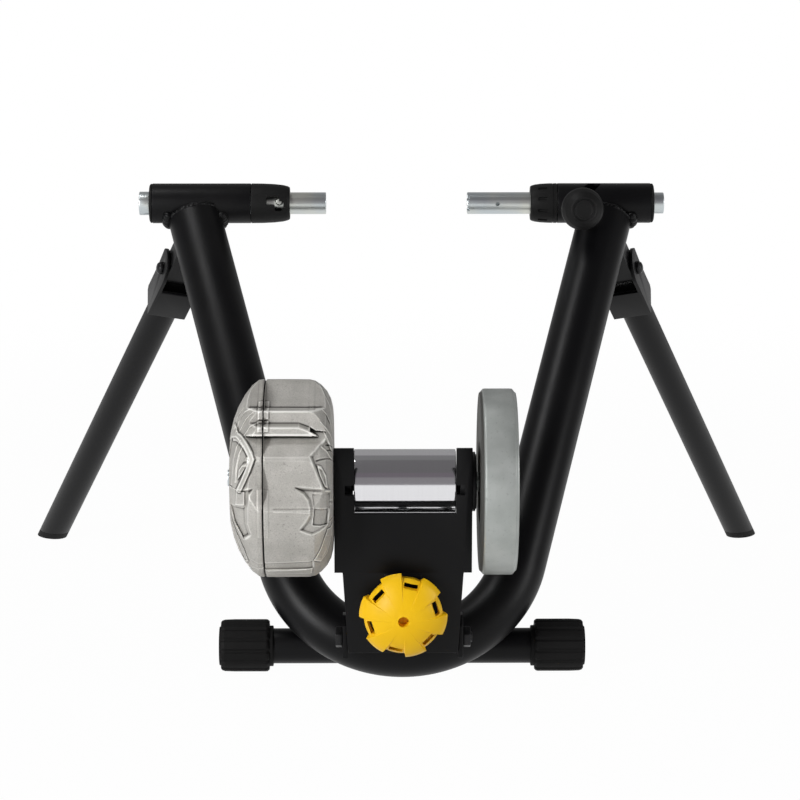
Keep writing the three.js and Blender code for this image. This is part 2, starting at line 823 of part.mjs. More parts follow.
function roundedCheek() {
  const half = legOd / 2 + seatGap + yokePlate;
  const shape = new THREE.Shape();
  shape.moveTo(-half, yokeLength);
  shape.lineTo(-half, -yokeHeadLength + half);
  shape.absarc(0, -yokeHeadLength + half, half, Math.PI, 2 * Math.PI * cheekArcEndShare, false);
  shape.lineTo(yokeBackReach, yokeWebStart);
  shape.lineTo(yokeBackReach, yokeLength - yokePlate);
  shape.lineTo(yokeBackReach - yokePlate, yokeLength);
  return shape;
}

function buildHinge({ name, sign }) {
  const frame = hingeFrame(sign);
  const group = hingeGroup(frame);
  const inside = legOd / 2 + seatGap;
  const outside = inside + yokePlate;
  const hole = rodX(-outside - cutOverrun, outside + cutOverrun, hingeBoltOd / 2 + seatGap);
  const shape = roundedCheek();
  const web = block(-outside, outside, -outside, -inside, yokeWebStart, yokeLength);
  const cheeks = join(plateX(shape, inside, outside), plateX(shape, -outside, -inside));
  add(group, `leg_yoke_${name}`, cut(join(cheeks, web), hole), paint);

  const lugHalf = inside - 2 * seatGap;
  const nose = new THREE.Shape();
  nose.moveTo(-lugHalfHeight, -lugLength);
  nose.lineTo(lugHalfHeight, -lugLength);
  nose.lineTo(lugHalfHeight, 0);
  nose.absarc(0, 0, lugHalfHeight, 0, Math.PI, false);
  const pocket = block(-lugHalf + lugPlate, lugHalf - lugPlate, -lugHalfHeight + lugPlate,
    lugHalfHeight + cutOverrun, -lugLength - cutOverrun, -lugHalfHeight);
  const envelope = transformed(mainEnvelope, frame.matrix.clone().invert());
  const lug = cut(plateX(nose, -lugHalf, lugHalf), pocket, hole, envelope);
  add(group, `hinge_lug_${name}`, lug, paint);

  const tube = cut(legRod(legStart, frame.length + legOd, legOd / 2, legOd / 2 - legWall),
    belowLevel(frame, footPadHeight + seatGap));
  add(group, `leg_tube_${name}`, tube, paint);
  const pad = legRod(frame.length - legOd, frame.length + legOd, legOd / 2, 0).intersect(
    belowLevel(frame, footPadHeight));
  const spigotStart = frame.length - footSpigotLength - legOd;
  const spigot = legRod(spigotStart, frame.length, legOd / 2 - legWall - seatGap, 0);
  add(group, `foot_${name}`, cut(join(pad, spigot), belowLevel(frame, 0)), rubber);

  const out = -sign;
  const headIn = outside + seatGap;
  const nutOut = headIn + hingeNutThickness;
  const tail = nutOut + hingeBoltTail;
  const shank = rodX(out * headIn, -out * tail, hingeBoltOd / 2);
  add(group, `hinge_bolt_${name}`, join(shank, boltHead(headIn, out)), blackOxide);
  const nut = hexNutX(-out * headIn, -out * nutOut, hingeNutFlats, hingeBoltOd / 2 + seatGap);
  add(group, `hinge_nut_${name}`, nut, blackOxide);
}

function boltHead(start, direction) {
  const corners = boltHeadShares.map(([share, radiusShare]) => [
    direction * (start + hingeHeadThickness * share), hingeHeadOd / 2 * radiusShare]);
  return turnedX(corners, smallSides);
}

// The roller unit leans a little towards the knob's side, and turns on its pivot
function unitGroup() {
  const group = new THREE.Group();
  group.position.copy(pivot);
  group.rotation.x = rad(unitLeanDeg);
  trainer.add(group);
  group.updateMatrix();
  return group;
}

function buildEars() {
  const shape = outline([
    [-earFront, -earBottom], [earBack, -earBottom], [earBack, 0], [earTopLength - earFront, earTop],
    [earBottom / 2 - earFront, earTop], [-earFront, earTop - earBottom / 2]]);
  const hole = rodX(-wideHalfWidth, wideHalfWidth, pivotBoltOd / 2 + seatGap);
  const envelope = moved(mainEnvelope, -pivot.x, -pivot.y, -pivot.z);
  const group = new THREE.Group();
  group.position.copy(pivot);
  trainer.add(group);
  sides.forEach(({ name, sign }) => {
    const ear = plateX(shape, sign * earInner, sign * (earInner + earThickness));
    add(group, `pivot_ear_${name}`, largestPiece(cut(ear, hole, envelope)), paint);
  });
}

// Keeps the largest of the pieces that a cut leaves
function largestPiece(body) {
  return body.decompose().sort((a, b) => b.volume() - a.volume())[0];
}

function buildPivotBolt(group) {
  const face = earInner + earThickness + seatGap;
  const nutOut = face + pivotNutThickness;
  const bolt = join(rodX(-face, nutOut + pivotBoltTail, pivotBoltOd / 2),
    hexX(-face - pivotHeadThickness, -face, pivotHeadOd));
  add(group, 'pivot_bolt', bolt, blackOxide);
  add(group, 'pivot_nut', hexNutX(face, nutOut, pivotNutFlats, pivotBoltOd / 2 + seatGap), blackOxide);
  const inside = bottomHalfWidth - plate - seatGap;
  const sleeve = tubeX(-inside, inside, pivotSleeveOd / 2, pivotBoltOd / 2 + seatGap, smallSides);
  add(group, 'pivot_sleeve', sleeve, steel);
}

function buildAnchor(group) {
  const w = anchorHalfWidth;
  const upright = block(-w, w, -anchorFront, -anchorFront + anchorPlate, anchorBottom, anchorTop);
  const shelf = block(-w, w, -anchorFront, anchorBack, anchorBottom, anchorBottom + anchorShelf);
  const foot = block(-w, w, anchorBack - anchorFoot, anchorBack, -anchorBottom, anchorBottom + anchorShelf);
  const rib = outline([
    [-anchorFront, anchorBottom], [anchorBack, anchorBottom], [anchorBack, anchorBottom + anchorShelf],
    [-anchorFront + anchorPlate, anchorTop], [-anchorFront, anchorTop]]);
  const ribs = [plateX(rib, -w, -w + gussetPlate), plateX(rib, w - gussetPlate, w)];
  const hole = alongY(rodX(-anchorTop, anchorTop, screwOd / 2 + runningGap), screwHeight);
  const envelope = transformed(mainEnvelope, group.matrix.clone().invert());
  const anchor = largestPiece(cut(join(upright, shelf, foot, ...ribs), hole, envelope));
  add(group, 'adjuster_anchor', anchor, paint);
  const back = -anchorFront + anchorPlate + seatGap;
  const nut = hexNutX(back, back + adjusterNutThickness, adjusterNutFlats, screwOd / 2 + seatGap);
  add(group, 'adjuster_nut', alongY(nut, screwHeight), zinc);
}

// Lays a piece made along X along Y, at a height on the screw's axis
function alongY(body, height) {
  return moved(aimed(body, new THREE.Vector3(0, 1, 0)), 0, 0, height);
}

function buildBracket(group) {
  const back = -plateFront + plate;
  const front = plateY(outline([
    [-bottomHalfWidth, -bracketBottom], [bottomHalfWidth, -bracketBottom], [stepHalfWidth, bracketStep],
    [wideHalfWidth, bracketStep], [wideHalfWidth, bracketTop], [-wideHalfWidth, bracketTop],
    [-wideHalfWidth, bracketStep], [-stepHalfWidth, bracketStep]]), -plateFront, back);
  const upper = new THREE.Shape();
  upper.moveTo(-plateFront, bracketStep);
  upper.lineTo(lowerFlangeDepth - plateFront, bracketStep);
  upper.absarc(rollerSetback, rollerRise, flangeArcRadius, -Math.PI / 4, Math.PI / 4, false);
  upper.lineTo(-plateFront, bracketTop);
  const lower = new THREE.Shape();
  lower.moveTo(-plateFront, -bracketBottom);
  lower.lineTo(0, -pivotLobeRadius);
  lower.absarc(0, 0, pivotLobeRadius, -Math.PI / 2, Math.PI / 8, false);
  lower.lineTo(lowerFlangeDepth - plateFront, bracketStep + plate);
  lower.lineTo(-plateFront, bracketStep + plate);
  const flanges = sides.flatMap(({ sign }) => [
    plateX(upper, sign * (wideHalfWidth - plate), sign * wideHalfWidth),
    plateX(lower, sign * (bottomHalfWidth - plate), sign * bottomHalfWidth)]);
  const pad = block(-padWidth / 2, padWidth / 2, -plateFront - padThickness, back, padBottom, padTop);
  const notchLeft = rollerShift - notchWidth / 2;
  const notchRight = rollerShift + notchWidth / 2;
  const notch = block(notchLeft, notchRight, -plateFront - cutOverrun, back + seatGap,
    notchBottom, bracketTop + cutOverrun);
  const slotTop = rollerRise + sideSlotRise;
  const relief = block(notchLeft - sideSlotLength, notchRight + sideSlotLength, -plateFront - cutOverrun,
    back + seatGap, slotTop - sideSlotHeight, slotTop);
  const screwSlot = block(-screwSlotWidth / 2, screwSlotWidth / 2, -plateFront - cutOverrun, back + cutOverrun,
    screwHeight - screwSlotHeight / 2, screwHeight + screwSlotHeight / 2);
  const pivotHole = rodX(-wideHalfWidth, wideHalfWidth, pivotBoltOd / 2 + seatGap);
  const bossHole = atRoller(rodX(-wideHalfWidth - cutOverrun, 0, bossClearOd / 2 + runningGap, tubeSides));
  const cupHole = atRoller(rodX(0, wideHalfWidth + cutOverrun, bearingOd / 2 + cupWall + seatGap, tubeSides));
  const screwHoles = mountScrewPlaces().map(([y, z]) => (
    moved(rodX(-wideHalfWidth - cutOverrun, 0, mountScrewOd / 2 + seatGap), 0, y, z)));
  const bracket = cut(join(front, pad, ...flanges), notch, relief, screwSlot, pivotHole, bossHole, cupHole,
    ...screwHoles);
  add(group, 'roller_bracket', bracket, paint);
}

function atRoller(body) {
  return moved(body, 0, rollerSetback, rollerRise);
}

function circlePlaces(count, diameter, phaseShare) {
  return Array.from({ length: count }, (_, i) => {
    const angle = 2 * Math.PI * (i + phaseShare) / count;
    return [diameter / 2 * Math.cos(angle), diameter / 2 * Math.sin(angle)];
  });
}

function mountScrewPlaces() {
  return circlePlaces(mountScrewCount, mountScrewCircleOd, mountScrewPhaseShare).map(([y, z]) => (
    [y + rollerSetback, z + rollerRise]));
}

function buildBearings(group) {
  const bore = shaftOd / 2 + seatGap;
  const outer = bearingOd / 2;
  add(group, 'bearing_left', tubeX(-leftBearingEnd - bearingWidth, -leftBearingEnd, outer, bore), steel);
  const cupRight = cupLeft + bearingWidth + seatGap;
  const cupRadius = outer + cupWall;
  const flangeStart = wideHalfWidth + seatGap;
  const cup = turnedX([
    [cupLeft, outer + seatGap], [cupLeft, cupRadius], [flangeStart, cupRadius], [flangeStart, cupFlangeOd / 2],
    [flangeStart + cupFlangeThickness, cupFlangeOd / 2], [flangeStart + cupFlangeThickness, cupRadius],
    [cupRight + cupLip, cupRadius], [cupRight + cupLip, outer - cupWall], [cupRight, outer - cupWall],
    [cupRight, outer + seatGap], [cupLeft, outer + seatGap]]);
  add(group, 'bearing_cup', cup, blackOxide);
  add(group, 'bearing_right', tubeX(cupLeft, cupLeft + bearingWidth, outer, bore), steel);
}

function buildRoller(group) {
  const half = rollerLength / 2;
  const bore = shaftOd / 2 + seatGap;
  const shell = rollerOd / 2 - rollerWall;
  const web = half - rollerRecess;
  const roller = turnedX([
    [-half, shell], [-half, rollerOd / 2], [half, rollerOd / 2], [half, shell], [web, shell],
    [web, rollerHubOd / 2], [half, rollerHubOd / 2], [half, bore], [-half, bore], [-half, rollerHubOd / 2],
    [-web, rollerHubOd / 2], [-web, shell], [-half, shell]], fineSides);
  add(group, 'roller', moved(roller, rollerShift, 0, 0), chrome);
}

const flywheelRight = flywheelLeft + flywheelWidth;
const flywheelSeat = flywheelRight - flywheelSeatDepth;
const washerPlace = flywheelSeat + seatGap;
const nutPlace = washerPlace + washerThickness + seatGap;
const shaftEnd = nutPlace + flywheelNutThickness + shaftTail;
const impellerRight = chamberInnerWall + outerWall / 2;
const impellerLeft = housingSeam + impellerSetIn;

function buildFlywheel(group) {
  const r = flywheelOd / 2;
  const c = flywheelCorner;
  const bore = shaftOd / 2 + seatGap;
  const corner = flywheelCornerShares.map((share) => share * Math.PI / 2);
  const leftCorner = corner.map((angle) => [
    flywheelLeft + c - c * Math.cos(angle), r - c + c * Math.sin(angle)]);
  const rightCorner = corner.map((angle) => [
    flywheelRight - c + c * Math.sin(angle), r - c + c * Math.cos(angle)]);
  const wheel = turnedX([
    [flywheelLeft + hubRecessDepth, bore], [flywheelLeft + hubRecessDepth, hubRecessOd / 2],
    [flywheelLeft, hubRecessOd / 2], ...leftCorner, ...rightCorner, [flywheelRight, webRecessOd / 2],
    [flywheelRight - webRecessDepth, webRecessOd / 2 - c], [flywheelRight - webRecessDepth, webHubOd / 2 + c],
    [flywheelSeat, webHubOd / 2], [flywheelSeat, bore], [flywheelLeft + hubRecessDepth, bore]], fineSides);
  add(group, 'flywheel', wheel, steel);
}

function buildShaft(group) {
  const r = shaftOd / 2;
  const thread = shaftThreadOd / 2;
  const shoulder = flywheelSeat - flywheelCorner;
  const shaft = turnedX([
    [-impellerLeft, 0], [-impellerLeft, r], [shoulder, r], [shoulder, thread], [shaftEnd, thread],
    [shaftEnd, 0]], smallSides);
  add(group, 'roller_shaft', shaft, steel);
  const bore = thread + seatGap;
  add(group, 'flywheel_washer', tubeX(washerPlace, washerPlace + washerThickness, washerOd / 2, bore), zinc);
  add(group, 'flywheel_nut', hexNutX(nutPlace, nutPlace + flywheelNutThickness, flywheelNutFlats, bore), zinc);
}

function buildImpeller(group) {
  const hub = impellerHubOd / 2;
  const r = impellerOd / 2;
  const discLeft = -impellerRight - impellerDisc - runningGap;
  const disc = rodX(discLeft, discLeft + impellerDisc, r, fineSides);
  const boss = rodX(-impellerLeft + impellerDisc, discLeft + impellerDisc, hub, tubeSides);
  const vanes = Array.from({ length: impellerVaneCount }, (_, i) => {
    const vane = block(discLeft - impellerVaneDepth, discLeft + impellerDisc / 2,
      -impellerVaneThickness / 2, impellerVaneThickness / 2, hub / 2, r - impellerVaneThickness);
    return transformed(vane, new THREE.Matrix4().makeRotationX(2 * Math.PI * i / impellerVaneCount));
  });
  const bore = rodX(-outerFacePlace, 0, shaftOd / 2 + seatGap);
  add(group, 'impeller', cut(join(disc, boss, ...vanes), bore), castAlloy);
}

const sealPlace = leftBearingEnd + bearingWidth + seatGap;
const casePlaces = circlePlaces(caseScrewCount, screwCircleOd, caseScrewPhaseShare);

// The front of the casing in flat faces and two low fins, and the back as the same shape turned half round
function casingProfile() {
  const lean = rad(casingLeanDeg);
  const corners = [...casingFront, [housingOd, 0], [housingOd, -housingOd], [-housingOd, -housingOd],
    [-housingOd, housingOd]].map(([up, out]) => [
    up * Math.sin(lean) - out * Math.cos(lean), up * Math.cos(lean) + out * Math.sin(lean)]);
  const front = plateX(outline(corners), -outerFacePlace - cutOverrun, 0);
  const back = transformed(front, new THREE.Matrix4().makeRotationX(Math.PI));
  return front.intersect(back);
}

// Places a piece of the brake's casing, whose middle stands above the roller's axis
function onCasing(body, y = 0, z = 0) {
  return moved(body, 0, y, z + housingRise);
}

function buildInnerHousing(group) {
  const seam = -housingSeam + gasketThickness / 2 + gasketGap;
  const bearingSeat = -leftBearingEnd - bearingWidth - bearingGap;
  const sealSeat = -sealPlace - sealWidth - seatGap;
  const seatRadius = bearingOd / 2 + bearingGap;
  const sealRadius = sealOd / 2 + seatGap;
  const shaftRoom = shaftOd / 2 + runningGap;
  const casting = turnedX([
    [seam, 0], [seam, housingOd / 2], [-innerChamferStart, housingOd / 2],
    [-innerMidPlace, innerMidOd / 2], [-housingMountFace, innerFaceOd / 2], [-housingMountFace, 0]], fineSides);
  const spigot = rodX(-chamberInnerWall, -leftBearingEnd, bossClearOd / 2, tubeSides);
  const chamber = rodX(seam - cutOverrun, -chamberInnerWall, chamberOd / 2, fineSides);
  const bore = turnedX([
    [-chamberInnerWall - cutOverrun, 0], [-chamberInnerWall - cutOverrun, shaftRoom], [sealSeat, shaftRoom],
    [sealSeat, sealRadius], [bearingSeat, sealRadius], [bearingSeat, seatRadius],
    [-leftBearingEnd + cutOverrun, seatRadius], [-leftBearingEnd + cutOverrun, 0]]);
  const caseHoles = casePlaces.map(([y, z]) => (
    onCasing(rodX(seam - cutOverrun, seam + caseScrewReach + seatGap, caseScrewOd / 2 + seatGap), y, z)));
  const mountHoles = mountScrewPlaces().map(([y, z]) => (
    moved(rodX(-housingMountFace - mountScrewReach - seatGap, 0, mountScrewOd / 2 + seatGap),
      0, y - rollerSetback, z - rollerRise)));
  const solid = join(onCasing(casting.intersect(casingProfile())), spigot);
  add(group, 'fluid_housing_inner', cut(solid, onCasing(chamber), bore, ...caseHoles, ...mountHoles), castAlloy);
}

function buildOuterHousing(group) {
  const seam = -housingSeam - gasketThickness / 2 - gasketGap;
  const chamber = chamberOd / 2;
  const bore = plugShankOd / 2 + seatGap;
  const casting = turnedX([
    [-outerFacePlace, bore], [-outerFacePlace, outerFaceOd / 2], [-outerEdgePlace, outerEdgeOd / 2],
    [-outerShoulderPlace, outerShoulderOd / 2], [-housingSeam - housingRimInset / 2, housingOd / 2],
    [seam, housingOd / 2], [seam, chamber], [-outerShoulderPlace + outerWall, chamber - outerWall],
    [-outerEdgePlace + outerWall, outerEdgeOd / 2 - outerWall], [-outerFacePlace + outerWall, outerFaceOd / 2],
    [-outerFacePlace + outerWall, bore], [-outerFacePlace, bore]], fineSides);
  const bosses = casePlaces.map(([y, z]) => moved(rodX(-screwBossPlace, seam, screwBossOd / 2), 0, y, z));
  const holes = casePlaces.map(([y, z]) => (
    moved(rodX(-screwBossPlace - cutOverrun, seam + cutOverrun, caseScrewOd / 2 + seatGap), 0, y, z)));
  const pockets = casePlaces.map(([y, z]) => (
    moved(rodX(-outerFacePlace, -screwBossPlace, caseScrewHeadOd / 2 + runningGap), 0, y, z)));
  const chamberRoom = rodX(-housingSeam - housingRimInset, seam + seatGap, chamber, fineSides);
  const bossTrim = cut(join(...bosses), chamberRoom);
  const cover = cut(join(casting, bossTrim).intersect(casingProfile()), ...holes, ...pockets);
  add(group, 'fluid_housing_outer', onCasing(cover), castAlloy);
}

function buildHousingFittings(group) {
  const gasket = tubeX(-housingSeam - gasketThickness / 2, -housingSeam + gasketThickness / 2,
    housingOd / 2 - gasketInset, chamberOd / 2 + gasketInset, fineSides);
  const holes = casePlaces.map(([y, z]) => (
    moved(rodX(-housingSeam - cutOverrun, -housingSeam + cutOverrun, caseScrewOd / 2 + seatGap), 0, y, z)));
  add(group, 'housing_gasket', onCasing(cut(gasket.intersect(casingProfile()), ...holes)), rubber);
  const seal = tubeX(-sealPlace - sealWidth, -sealPlace, sealOd / 2, shaftOd / 2 + runningGap);
  add(group, 'shaft_seal', seal, rubber);
  const headSide = -screwBossPlace - seatGap;
  casePlaces.forEach(([y, z], i) => {
    const screw = join(rodX(headSide, -housingSeam + caseScrewReach, caseScrewOd / 2),
      rodX(headSide - caseScrewHeadHeight, headSide, caseScrewHeadOd / 2));
    add(group, `case_screw_${i + 1}`, onCasing(screw, y, z), zinc);
  });
  const inside = -wideHalfWidth + plate + seatGap;
  mountScrewPlaces().forEach(([y, z], i) => {
    const screw = join(rodX(-housingMountFace - mountScrewReach, inside, mountScrewOd / 2),
      rodX(inside, inside + mountScrewHeadHeight, mountScrewHeadOd / 2));
    add(group, `mount_screw_${i + 1}`, moved(screw, 0, y - rollerSetback, z - rollerRise), blackOxide);
  });
  const face = -outerFacePlace - seatGap;
  const plug = join(rodX(face, -outerFacePlace + outerWall, plugShankOd / 2),
    rodX(face - plugHead, face, plugOd / 2));
  const socket = hexX(face - plugHead - cutOverrun, face - plugHead + plugSocketDepth, plugSocketFlats);
  add(group, 'fill_plug', onCasing(cut(plug, socket)), zinc);
}

// Adjuster: a knob on a screw that draws the bracket's front plate towards the anchor's nut
function knobOutline() {
  const shape = new THREE.Shape();
  const pitch = 2 * Math.PI / knobLobeCount;
  for (let i = 0; i < knobLobeCount; i += 1) {
    const middle = rad(knobPhaseDeg) + i * pitch;
    const half = pitch * knobLobeShare / 2;
    const start = middle - half;
    const next = middle + pitch - half;
    if (i === 0) shape.moveTo(knobLobeRadius * Math.cos(start), knobLobeRadius * Math.sin(start));
    shape.absarc(0, 0, knobLobeRadius, start, middle + half, false);
    shape.absarc(0, 0, knobBodyRadius, middle + half, next, false);
  }
  return shape;
}

function buildAdjuster(group) {
  const seat = -thrustSeat;
  const bore = screwOd / 2 + seatGap;
  const washer = turnedX([
    [seat, bore], [seat, thrustFlatOd / 2], [seat - thrustCrown, thrustOd / 2],
    [seat - thrustThickness, thrustOd / 2], [seat - thrustThickness, bore], [seat, bore]]);
  add(group, 'thrust_washer', alongY(washer, screwHeight), steel);
  const rear = -knobRear;
  const front = rear - knobDepth;
  const blank = plateY(knobOutline(), front, rear, knobArcSides);
  const r = knobLobeRadius + runningGap;
  const dome = knobDomeShares.map((share) => [
    front + knobDomeRise * (1 - Math.sqrt(1 - share * share)), r * share]);
  const crown = turnedX([...dome, [rear, r], [rear, 0]]);
  const shell = blank.intersect(aimed(crown, new THREE.Vector3(0, 1, 0)));
  const pocketFloor = front + knobDomeRise;
  const pocket = tubeX(pocketFloor, rear + cutOverrun, knobBodyRadius - knobWall, knobHubOd / 2);
  const slots = Array.from({ length: knobLobeCount }, (_, i) => {
    const slot = block(-knobSlotLength / 2, knobSlotLength / 2, front - cutOverrun, rear,
      knobSlotRadius - knobSlotWidth / 2, knobSlotRadius + knobSlotWidth / 2);
    const angle = rad(knobPhaseDeg) + (i + knobValleyShare) * 2 * Math.PI / knobLobeCount - Math.PI / 2;
    return transformed(slot, new THREE.Matrix4().makeRotationY(-angle));
  });
  const screwEnd = front + knobEyeDepth + screwOd / 2;
  const eye = rodX(front - cutOverrun, front + knobEyeDepth, knobEyeOd / 2);
  const socket = rodX(screwEnd - seatGap, rear + cutOverrun, bore);
  const cuts = [pocket, eye, socket].map((body) => aimed(body, new THREE.Vector3(0, 1, 0)));
  add(group, 'adjuster_knob', moved(cut(shell, ...cuts, ...slots), 0, 0, screwHeight), yellowPlastic);
  add(group, 'adjuster_screw', alongY(rodX(screwEnd, screwTip, screwOd / 2), screwHeight), zinc);
}

buildMainTube();
buildCrossbar();
sides.forEach((side) => {
  buildBoot(side);
  buildHinge(side);
  const group = clampGroup(side.sign);
  buildClampTube(side, group);
  buildNose(side, group);
  buildEndBush(side, group);
  buildSpindle(side, group);
  if (side.name === 'left') buildLocatingPin(group);
  if (side.name === 'right') buildLever(group);
});
buildEars();
const unit = unitGroup();
buildPivotBolt(unit);
buildAnchor(unit);
buildBracket(unit);
buildAdjuster(unit);
const axle = new THREE.Group();
axle.position.set(0, rollerSetback, rollerRise);
unit.add(axle);
buildBearings(axle);
buildRoller(axle);
buildFlywheel(axle);
buildShaft(axle);
buildImpeller(axle);
buildInnerHousing(axle);
buildOuterHousing(axle);
buildHousingFittings(axle);

// The origin is the middle of the part's footprint, on the floor
const box = new THREE.Box3().setFromObject(trainer, true);
trainer.position.y = -(box.min.y + box.max.y) / 2;

export default trainer;
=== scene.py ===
import json
import math
import random

import bmesh
import bpy
import numpy as np
from mathutils import Matrix, Vector


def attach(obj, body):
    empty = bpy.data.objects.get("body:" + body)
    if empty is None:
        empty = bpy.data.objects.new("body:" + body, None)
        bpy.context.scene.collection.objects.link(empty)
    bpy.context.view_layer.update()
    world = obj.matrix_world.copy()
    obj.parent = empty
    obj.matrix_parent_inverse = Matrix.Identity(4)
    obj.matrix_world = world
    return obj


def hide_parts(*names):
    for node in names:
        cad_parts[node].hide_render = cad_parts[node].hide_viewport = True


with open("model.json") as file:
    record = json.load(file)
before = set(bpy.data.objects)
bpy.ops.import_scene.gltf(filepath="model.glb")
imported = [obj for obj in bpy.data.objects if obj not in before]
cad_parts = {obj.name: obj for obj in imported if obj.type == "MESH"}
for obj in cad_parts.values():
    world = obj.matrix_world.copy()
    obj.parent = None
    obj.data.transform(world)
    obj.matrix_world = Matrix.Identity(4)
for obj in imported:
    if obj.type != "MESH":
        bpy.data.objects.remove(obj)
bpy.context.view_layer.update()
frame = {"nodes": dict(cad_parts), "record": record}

# Places shared with the solids, in millimetres, from the floor under the middle of the crossbar
FOOTPRINT_SHIFT = -238.03678116763277
BOOT_AXIS = 23.8
BOOT_SHIFT = 2.3
BEND_LOW = Vector((0, -40, 30.7))
CLAMP = Vector((0, 220, 406))
SPLAY = math.radians(14.3)
BEND_RADIUS = 108.4
MAIN_TUBE = 25.4
CLAMP_TUBE = 19.05
LEG_TUBE = 15
SPINDLE = 10.45
ARM_SHORT = 17
UNIT_PIVOT = (0, -75, 50)
UNIT_LEAN = math.radians(6)
ROLLER_PLACE = (0, 9.7, 139.8)
SCREW_HEIGHT = 34
CASING_RISE = 3.5
HINGE_DROP, HINGE_BACK, HINGE_OUT = 46.55, 50.49, 23.25
LEG_END_X, LEG_END_Y = 383, 618.6
PIN_TURN = math.radians(12)
PIN_X = 115.5
LEVER_X, LEVER_STROKE = 167, 18
LEVER_SWING = math.radians(75)
LEVER_SLANT = math.radians(4)
SIDES = (("left", -1), ("right", 1))

MILLIMETRES = 1000
TRAINER = Matrix.Scale(1 / MILLIMETRES, 4) @ Matrix.Translation((0, FOOTPRINT_SHIFT, 0))
UNIT = TRAINER @ Matrix.Translation(UNIT_PIVOT) @ Matrix.Rotation(UNIT_LEAN, 4, "X")
AXLE = UNIT @ Matrix.Translation(ROLLER_PLACE)
SCREW = UNIT @ Matrix.Translation((0, 0, SCREW_HEIGHT)) @ Matrix.Rotation(math.radians(90), 4, "Z")
CLAMP_RIGHT = TRAINER @ Matrix.Translation(CLAMP)
CLAMP_LEFT = CLAMP_RIGHT @ Matrix.Rotation(math.pi, 4, "Z")


def basis(x_axis, y_axis, z_axis, origin):
    """The frame whose axes and origin are given in the trainer's millimetres."""
    turned_frame = Matrix((x_axis, y_axis, z_axis)).transposed().to_4x4()
    return TRAINER @ Matrix.Translation(origin) @ turned_frame


UP_ARM = (CLAMP - BEND_LOW).normalized()
ARM_RISE = (CLAMP - BEND_LOW).length
BEND_END_X = BEND_RADIUS * math.cos(SPLAY)
BEND_END_RISE = BEND_RADIUS * (1 - math.sin(SPLAY))
CROSSING = BEND_END_X + (ARM_RISE - BEND_END_RISE) * math.tan(SPLAY)
BEND_PLANE = basis((1, 0, 0), UP_ARM, Vector((1, 0, 0)).cross(UP_ARM), BEND_LOW)


def hinge_frame(sign):
    """A rear leg's frame, with Z down the leg from its hinge, and the leg's length."""
    rise = ARM_RISE - HINGE_DROP
    pin = BEND_LOW + UP_ARM * rise + Vector((0, UP_ARM.z, -UP_ARM.y)) * HINGE_BACK
    pin.x = sign * (BEND_END_X + (rise - BEND_END_RISE) * math.tan(SPLAY) + HINGE_OUT)
    foot = Vector((sign * LEG_END_X, LEG_END_Y, 0))
    down = (foot - pin).normalized()
    fold = down.cross(-UP_ARM).normalized()
    return basis(fold, down.cross(fold), down, pin), (foot - pin).length


# The camera of the photograph
camera_data = bpy.data.cameras.new("camera")
camera_data.lens = 135
camera_data.sensor_width = 36
camera_data.clip_start = 0.1
camera_data.clip_end = 50
camera = bpy.data.objects.new("camera", camera_data)
camera.location = TRAINER @ Vector((-25, -2655, 670))
camera.rotation_euler = (math.radians(81), 0, math.radians(-0.5))
bpy.context.scene.collection.objects.link(camera)
bpy.context.scene.camera = camera
bpy.context.scene.view_settings.view_transform = "Standard"


def softbox(name, place, target, width, height, watts, seen=True, lights=True):
    """A rectangular lamp, which can be left unseen in mirrors or out of diffuse light."""
    lamp = bpy.data.lights.new(name, "AREA")
    lamp.shape = "RECTANGLE"
    lamp.size = width
    lamp.size_y = height
    lamp.energy = watts
    holder = bpy.data.objects.new(name, lamp)
    holder.location = place
    aim = Vector(target) - Vector(place)
    holder.rotation_euler = aim.to_track_quat("-Z", "Y").to_euler()
    holder.visible_glossy = seen
    holder.visible_diffuse = lights
    bpy.context.scene.collection.objects.link(holder)


softbox("left_softbox", (-2.0, -2.5, 0.95), (0, -0.1, 0.2), 0.6, 1.5, 74)
softbox("right_softbox", (2.6, -1.3, 0.95), (0, -0.1, 0.2), 0.4, 1.4, 27)
softbox("top_softbox", (0, -0.4, 2.4), (0, -0.1, 0.1), 1.6, 1.0, 3, seen=False)
softbox("high_softbox", (-1.0, -0.35, 2.2), (-0.1, 0, 0.3), 0.3, 0.9, 17, lights=False)


class Value:
    """A number, colour or vector in a material. Sums and products of numbers add Math nodes."""

    def __init__(self, material, socket):
        self.material = material
        self.socket = socket

    def maths(self, operation, *values):
        return self.material.node("ShaderNodeMath", {"operation": operation}, dict(enumerate(values)))

    def __add__(self, other):
        return self.maths("ADD", self, other)

    def __radd__(self, other):
        return self.maths("ADD", other, self)

    def __sub__(self, other):
        return self.maths("SUBTRACT", self, other)

    def __rsub__(self, other):
        return self.maths("SUBTRACT", other, self)

    def __mul__(self, other):
        return self.maths("MULTIPLY", self, other)

    def above(self, level, width):
        """0 under the level, 1 over it, with a soft step of the width between."""
        return self.material.node("ShaderNodeMapRange", {"interpolation_type": "SMOOTHSTEP"}, {
            "Value": self, "From Min": level - width / 2, "From Max": level + width / 2})


